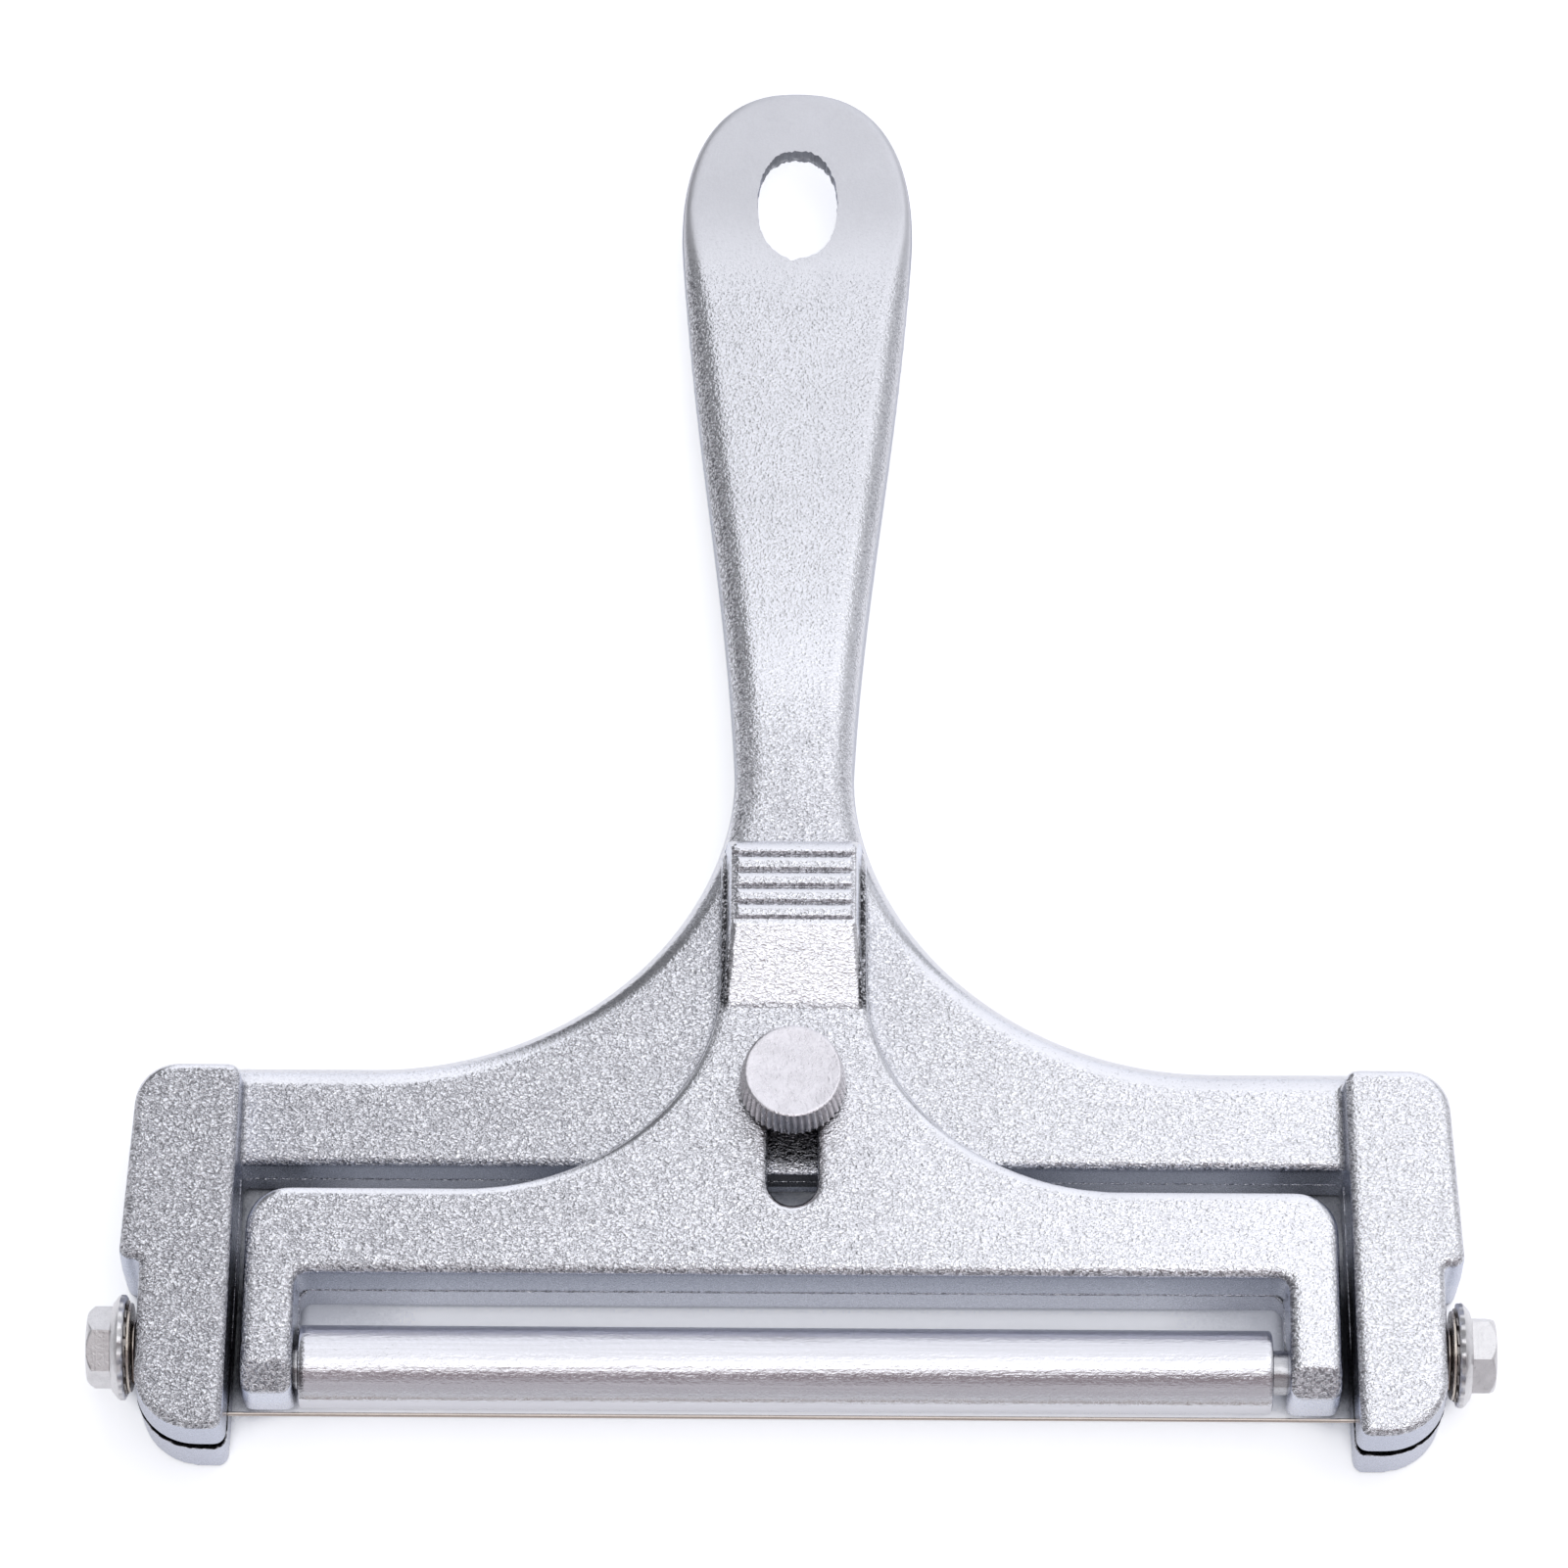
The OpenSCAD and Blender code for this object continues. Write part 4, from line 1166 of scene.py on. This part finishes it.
def tab_painted_shade(n, color):
    """Painted shade in dark specks on the tab's steep sides"""
    crest = TAB_CREST_W / 2
    foot = TAB_FOOT_W / 2
    beside = n.band(n.off, crest + 0.1, crest + 0.4, foot + 0.1, foot + 0.35)
    along = n.band(n.y, RAMP_Y - 1, RAMP_Y + 1, STRIP_RISE - 4, STRIP_RISE - 2)
    specks = n.ramp(n.coarse, 0.50, 0.62, 0.96, 0.1)
    return n.mix(n.product(beside, along, specks), color, TAB_SIDE_PAINTED_SHADE)


def finish(n, color, strength):
    """Rougher on the ground head and on the walls than between the grains of the faces"""
    fine = n.noise(n.place, FINE_SCALE, 2, 0.5, 0.3)
    rough = n.math("ADD", n.ramp(fine, 0.3, 0.7, 0.10, 0.20), n.product(n.ground, 0.35))
    rough = n.math("ADD", rough, n.product(n.math("SUBTRACT", 1, n.flat), 0.12))
    normal = n.bump(n.coarse, GRAIN_DEPTH, n.math("ADD", strength, LEAST_GRAIN))
    return n.metal(0.22, color, rough, normal)


def frame_material():
    n = Casting("cast_frame_metal")
    strength = grain_strength(n, 0.85, 1.0)
    color = n.mix(n.flat, wall_color(n, (BAR_T / 2, ARM_T / 2), FRAME_WALL_PAINTED_TONES), face_color(n, strength))
    arm_ends = n.product(n.over(n.off, ARM_IN - 0.8, ARM_IN - 0.2), n.over(n.y, *ARM_END_FADE, 1.0, 0.0))
    color = channel_painted_shade(n, with_painted_shade(n, color, arm_ends))
    return finish(n, slit_painted_shade(n, color, arm_ends), strength)


def guide_material():
    n = Casting("cast_guide_metal")
    strength = softened_tab(n, grain_strength(n, 0.75, 0.75))
    color = n.mix(n.flat, wall_color(n, (FACE_Z / 2, FACE_Z / 2), GUIDE_WALL_PAINTED_TONES), face_color(n, strength))
    return finish(n, tab_painted_shade(n, with_painted_shade(n, color)), strength)


def flute_painted_light(n, tint, color):
    """Painted highlight on the knob's fluted side and painted shade in the flutes' roots, round the slightly
    conical knob
    """
    x, y, z = n.parts(n.place)
    knob_r = SCREW_HIGH[0]
    top = SCREW_HIGH[2] - 0.3
    radius = n.math("SQRT", n.math("ADD", n.product(x, x), n.product(y, y)))
    side = n.over(z, top, top + 0.2, 1.0, 0.0)
    lean = n.product(n.over(z, KNOB_WASHER_HIGH[2] + 0.5, top), (knob_r - KNOB_CONE_R) * MM)
    root = n.over(n.math("ADD", radius, lean), knob_r - FLUTE_DEPTH, knob_r - 0.05, 1.0, 0.0)
    tint = n.mix(side, tint, tuple(min(c * 1.2, 0.98) for c in color))
    return n.mix(n.product(root, side), tint, toned(color, 0.45))


def turned_material(name, color, roughness, ring_scale, axis, wear=1.0, fluted=False):
    """Turned metal: fine tool marks round an axis, faint blotches, scattered pits"""
    n = Nodes(name)
    scale = [ring_scale * 0.06] * 3
    scale[axis] = ring_scale
    marks = n.noise(n.mapped(n.place, scale), 1, 3, 0.6)
    blotch = n.noise(n.place, 420, 4, 0.65, 0.5)
    pits = n.noise(n.place, 2100, 3, 0.65, 0.8)
    tint = n.mix(n.ramp(blotch, 0.35, 0.65), toned(color, 1 - 0.14 * wear), color)
    tint = n.mix(n.ramp(pits, 0.26, 0.44), toned(color, 1 - 0.2 * wear), tint)
    # Painted highlight and painted shade on the knob's flutes
    if fluted:
        tint = flute_painted_light(n, tint, color)
    rough = n.ramp(blotch, 0.3, 0.7, roughness * 0.8, roughness * 1.25)
    normal = n.bump(n.math("ADD", marks, n.product(pits, 1.5)), 0.04 * wear, 0.7)
    return n.metal(roughness, tint, rough, normal)


def drawn_material(name, color, roughness, depth):
    """Drawn metal along X: lengthwise streaks with fine speckle, to a depth in millimetres"""
    n = Nodes(name)
    streaks = n.noise(n.mapped(n.place, (60, 2600, 2600)), 1, 3, 0.6)
    speckle = n.noise(n.mapped(n.place, (1500, 3000, 3000)), 1, 3, 0.6, 0.3)
    tint = n.mix(n.ramp(streaks, 0.3, 0.7), toned(color, 0.93), color)
    rough = n.ramp(speckle, 0.3, 0.7, roughness * 0.75, roughness * 1.3)
    normal = n.bump(n.math("ADD", n.product(streaks, 0.6), speckle), depth, 0.7)
    return n.metal(roughness, tint, rough, normal)


# Stage

# Camera: the point looked at, the distance, the tilt towards the wire and the roll, from the photo
LOOK_AT = Vector((-1.21, 40.68, 6)) * MM
CAMERA_DISTANCE = 777 * MM
CAMERA_TILT = math.radians(25)
CAMERA_ROLL = math.radians(0.35)
FOCAL_PX = 6800
IMAGE_PX = 1601
SENSOR_MM = 36


def make_camera():
    data = bpy.data.cameras.new("photo_camera")
    data.sensor_width = SENSOR_MM
    data.lens = FOCAL_PX / IMAGE_PX * SENSOR_MM
    data.clip_start = 50 * MM
    camera = placed("photo_camera", data)
    turn = Matrix.Rotation(CAMERA_TILT, 4, "X")
    place = LOOK_AT + turn @ Vector((0, 0, CAMERA_DISTANCE))
    camera.matrix_world = Matrix.Translation(place) @ turn @ Matrix.Rotation(CAMERA_ROLL, 4, "Z")
    bpy.context.scene.camera = camera


# Softbox over the object, turned towards the frame's origin
KEY_PLACE = Vector((100, -105, 900)) * MM
KEY_W = 1200 * MM
KEY_DEPTH = 380 * MM
KEY_RADIANCE = 0.55


def make_key_light():
    data = bpy.data.lights.new("key_softbox", "AREA")
    data.shape = "RECTANGLE"
    data.size = KEY_W
    data.size_y = KEY_DEPTH
    data.energy = KEY_RADIANCE * math.pi * KEY_W * KEY_DEPTH
    light = placed("key_softbox", data)
    light.location = KEY_PLACE
    light.rotation_euler = (-KEY_PLACE).to_track_quat("-Z", "Y").to_euler()


# Room round the object: colour by the direction's angle from straight up, in degrees towards the handle
ROOM = (
    (-180, (0.60, 0.60, 0.63)), (-112, (0.60, 0.60, 0.63)), (-104, (0.45, 0.43, 0.46)),
    (-54, (0.50, 0.48, 0.50)), (-48, (0.27, 0.23, 0.25)), (-23, (0.28, 0.24, 0.25)),
    (-18, (0.95, 0.95, 0.98)), (40, (0.95, 0.96, 1.00)), (67, (0.87, 0.88, 0.93)),
    (84, (0.78, 0.80, 0.86)), (105, (0.50, 0.52, 0.57)), (180, (0.50, 0.52, 0.56)),
)

# Share of that light by the direction's sideways part, from far left to far right
SIDES = ((-1, 0.15), (-0.93, 0.6), (-0.86, 0.1), (-0.78, 0.65), (-0.7, 0.08), (-0.6, 0.6), (-0.5, 0.08),
         (-0.42, 0.3), (-0.34, 0.1), (-0.25, 0.6), (-0.15, 1.45), (-0.06, 1.16), (0, 1.07), (0.1, 1.2),
         (0.42, 1.2), (0.52, 0.4), (0.62, 1.0), (0.74, 0.4), (0.86, 0.9), (1, 0.4))


def make_world():
    world = bpy.data.worlds.new("studio")
    bpy.context.scene.world = world
    world.use_nodes = True
    n = Tree(world.node_tree)
    x, y, z = n.parts(n.add("ShaderNodeTexCoord").outputs["Generated"])
    turn = n.math("DIVIDE", n.math("ADD", n.math("ARCTAN2", y, z), math.pi), 2 * math.pi)
    room = n.color_ramp(turn, [((angle + 180) / 360, color) for angle, color in ROOM])
    side = n.math("DIVIDE", n.math("ADD", x, 1), 2)
    share = n.color_ramp(side, [((place + 1) / 2, (level, level, level)) for place, level in SIDES])
    dimmed = n.add("ShaderNodeVectorMath", {0: room, 1: share}, operation="MULTIPLY").outputs[0]
    seen = n.add("ShaderNodeLightPath").outputs["Is Camera Ray"]
    n.feed(n.tree.nodes["Background"].inputs["Color"], n.mix(seen, dimmed, (1.0, 1.0, 1.0)))


FLOOR_HALF = 1500 * MM
FLOOR_GLOW = 0.62
FLOOR_GLOSSY_GLOW = 0.38
FLOOR_COLOR = (0.90, 0.90, 0.91)
GLOW_COLOR = (0.94, 0.96, 1.0)
# Painted shade in the floor's narrow gaps, and a bluish painted glow where they open
GAP_PAINTED_SHADE = (0.03, 0.03, 0.035)
GAP_PAINTED_GLOW = (0.70, 0.76, 1.0)
FLOOR_DROP = 0.2 * MM

# Reach of the floor's painted shade, and the openness at which a gap counts as shut or open
CORNER_REACH = 14
GAP_SHUT = 0.15
GAP_OPEN = 0.37

# Painted light on the floor: places that stay light under the head and beside the roller's ends; and where
# its glow in metal starts, as a painted pool of light in reflections
HEAD_PAINTED_LIGHT_START = 90
ROLLER_END_FADE = (54.5, 56.5)
ROLLER_END_ROW = (-42, -38, -13, -9)
ROLLER_END_PAINTED_LIGHT = 0.45
REFLECTED_POOL_PAINTED_FADE = (-75, -52)


def make_floor():
    """Pale floor that glows a little for the camera and in metal, with painted shade in narrow gaps, where it
    turns dark and does not glow, and painted light under the head and beside the roller's ends
    """
    h = FLOOR_HALF
    mesh = bpy.data.meshes.new("floor")
    mesh.from_pydata([(-h, -h, 0), (h, -h, 0), (h, h, 0), (-h, h, 0)], [], [(0, 1, 2, 3)])
    floor = placed("floor", mesh)
    floor.location = (0, 0, -FLOOR_DROP)
    n = Nodes("pale_floor")
    n.tree.nodes.remove(n.shader)
    x, y = n.parts(n.place)[:2]
    path = n.add("ShaderNodeLightPath")
    mirrors = n.math("MAXIMUM", path.outputs["Is Glossy Ray"], path.outputs["Is Transmission Ray"])
    # Painted light: the floor's glow in metal, a pool that fades out in front of the object
    glow = n.math("ADD", n.product(path.outputs["Is Camera Ray"], FLOOR_GLOW),
                  n.product(mirrors, n.over(y, *REFLECTED_POOL_PAINTED_FADE, 0.0, FLOOR_GLOSSY_GLOW)))
    # Painted light that keeps the floor light under the head and beside the roller's ends
    head_painted_light = n.over(y, HEAD_PAINTED_LIGHT_START, HEAD_PAINTED_LIGHT_START + 10)
    off = n.math("ABSOLUTE", x)
    roller_end_painted_light = n.product(n.over(off, *ROLLER_END_FADE, ROLLER_END_PAINTED_LIGHT, 0.0), n.band(y, *ROLLER_END_ROW))
    # Painted shade: the floor turns dark and stops glowing in narrow gaps
    gap = n.ramp(n.openness(CORNER_REACH, 16), GAP_SHUT, GAP_OPEN)
    open_share = n.math("MAXIMUM", gap, n.math("MAXIMUM", head_painted_light, roller_end_painted_light))
    diffuse = n.add("ShaderNodeBsdfDiffuse", {"Color": n.mix(open_share, GAP_PAINTED_SHADE, FLOOR_COLOR)})
    light = {"Color": n.mix(open_share, GAP_PAINTED_GLOW, GLOW_COLOR), "Strength": n.product(glow, open_share)}
    emission = n.add("ShaderNodeEmission", light)
    total = n.add("ShaderNodeAddShader", {0: diffuse.outputs[0], 1: emission.outputs[0]})
    n.feed(n.tree.nodes["Material Output"].inputs["Surface"], total.outputs[0])
    mesh.materials.append(n.material)


def make_stage():
    bpy.context.scene.view_settings.view_transform = "Standard"
    make_camera()
    make_world()
    make_floor()
    make_key_light()


make_stage()
frame_piece(frame_material())
guide_piece(guide_material())
screw_piece(turned_material("turned_screw_metal", (0.82, 0.80, 0.84), 0.28, 2400, 2, 1.2, fluted=True))
brass_toned = turned_material("plain_washer_steel", (0.62, 0.56, 0.50), 0.25, 2400, 0)
knob_washer_piece(brass_toned)
roller_pieces(drawn_material("roller_aluminium", (0.77, 0.77, 0.81), 0.12, 0.08),
              drawn_material("axle_steel", (0.55, 0.55, 0.57), 0.25, 0.03))
side_pieces(turned_material("bolt_zinc", (0.88, 0.87, 0.88), 0.36, 3000, 0),
            turned_material("tooth_washer_steel", (0.34, 0.32, 0.31), 0.3, 2400, 0), brass_toned)
wire_piece(drawn_material("wire_steel", (0.58, 0.52, 0.47), 0.2, 0.01))
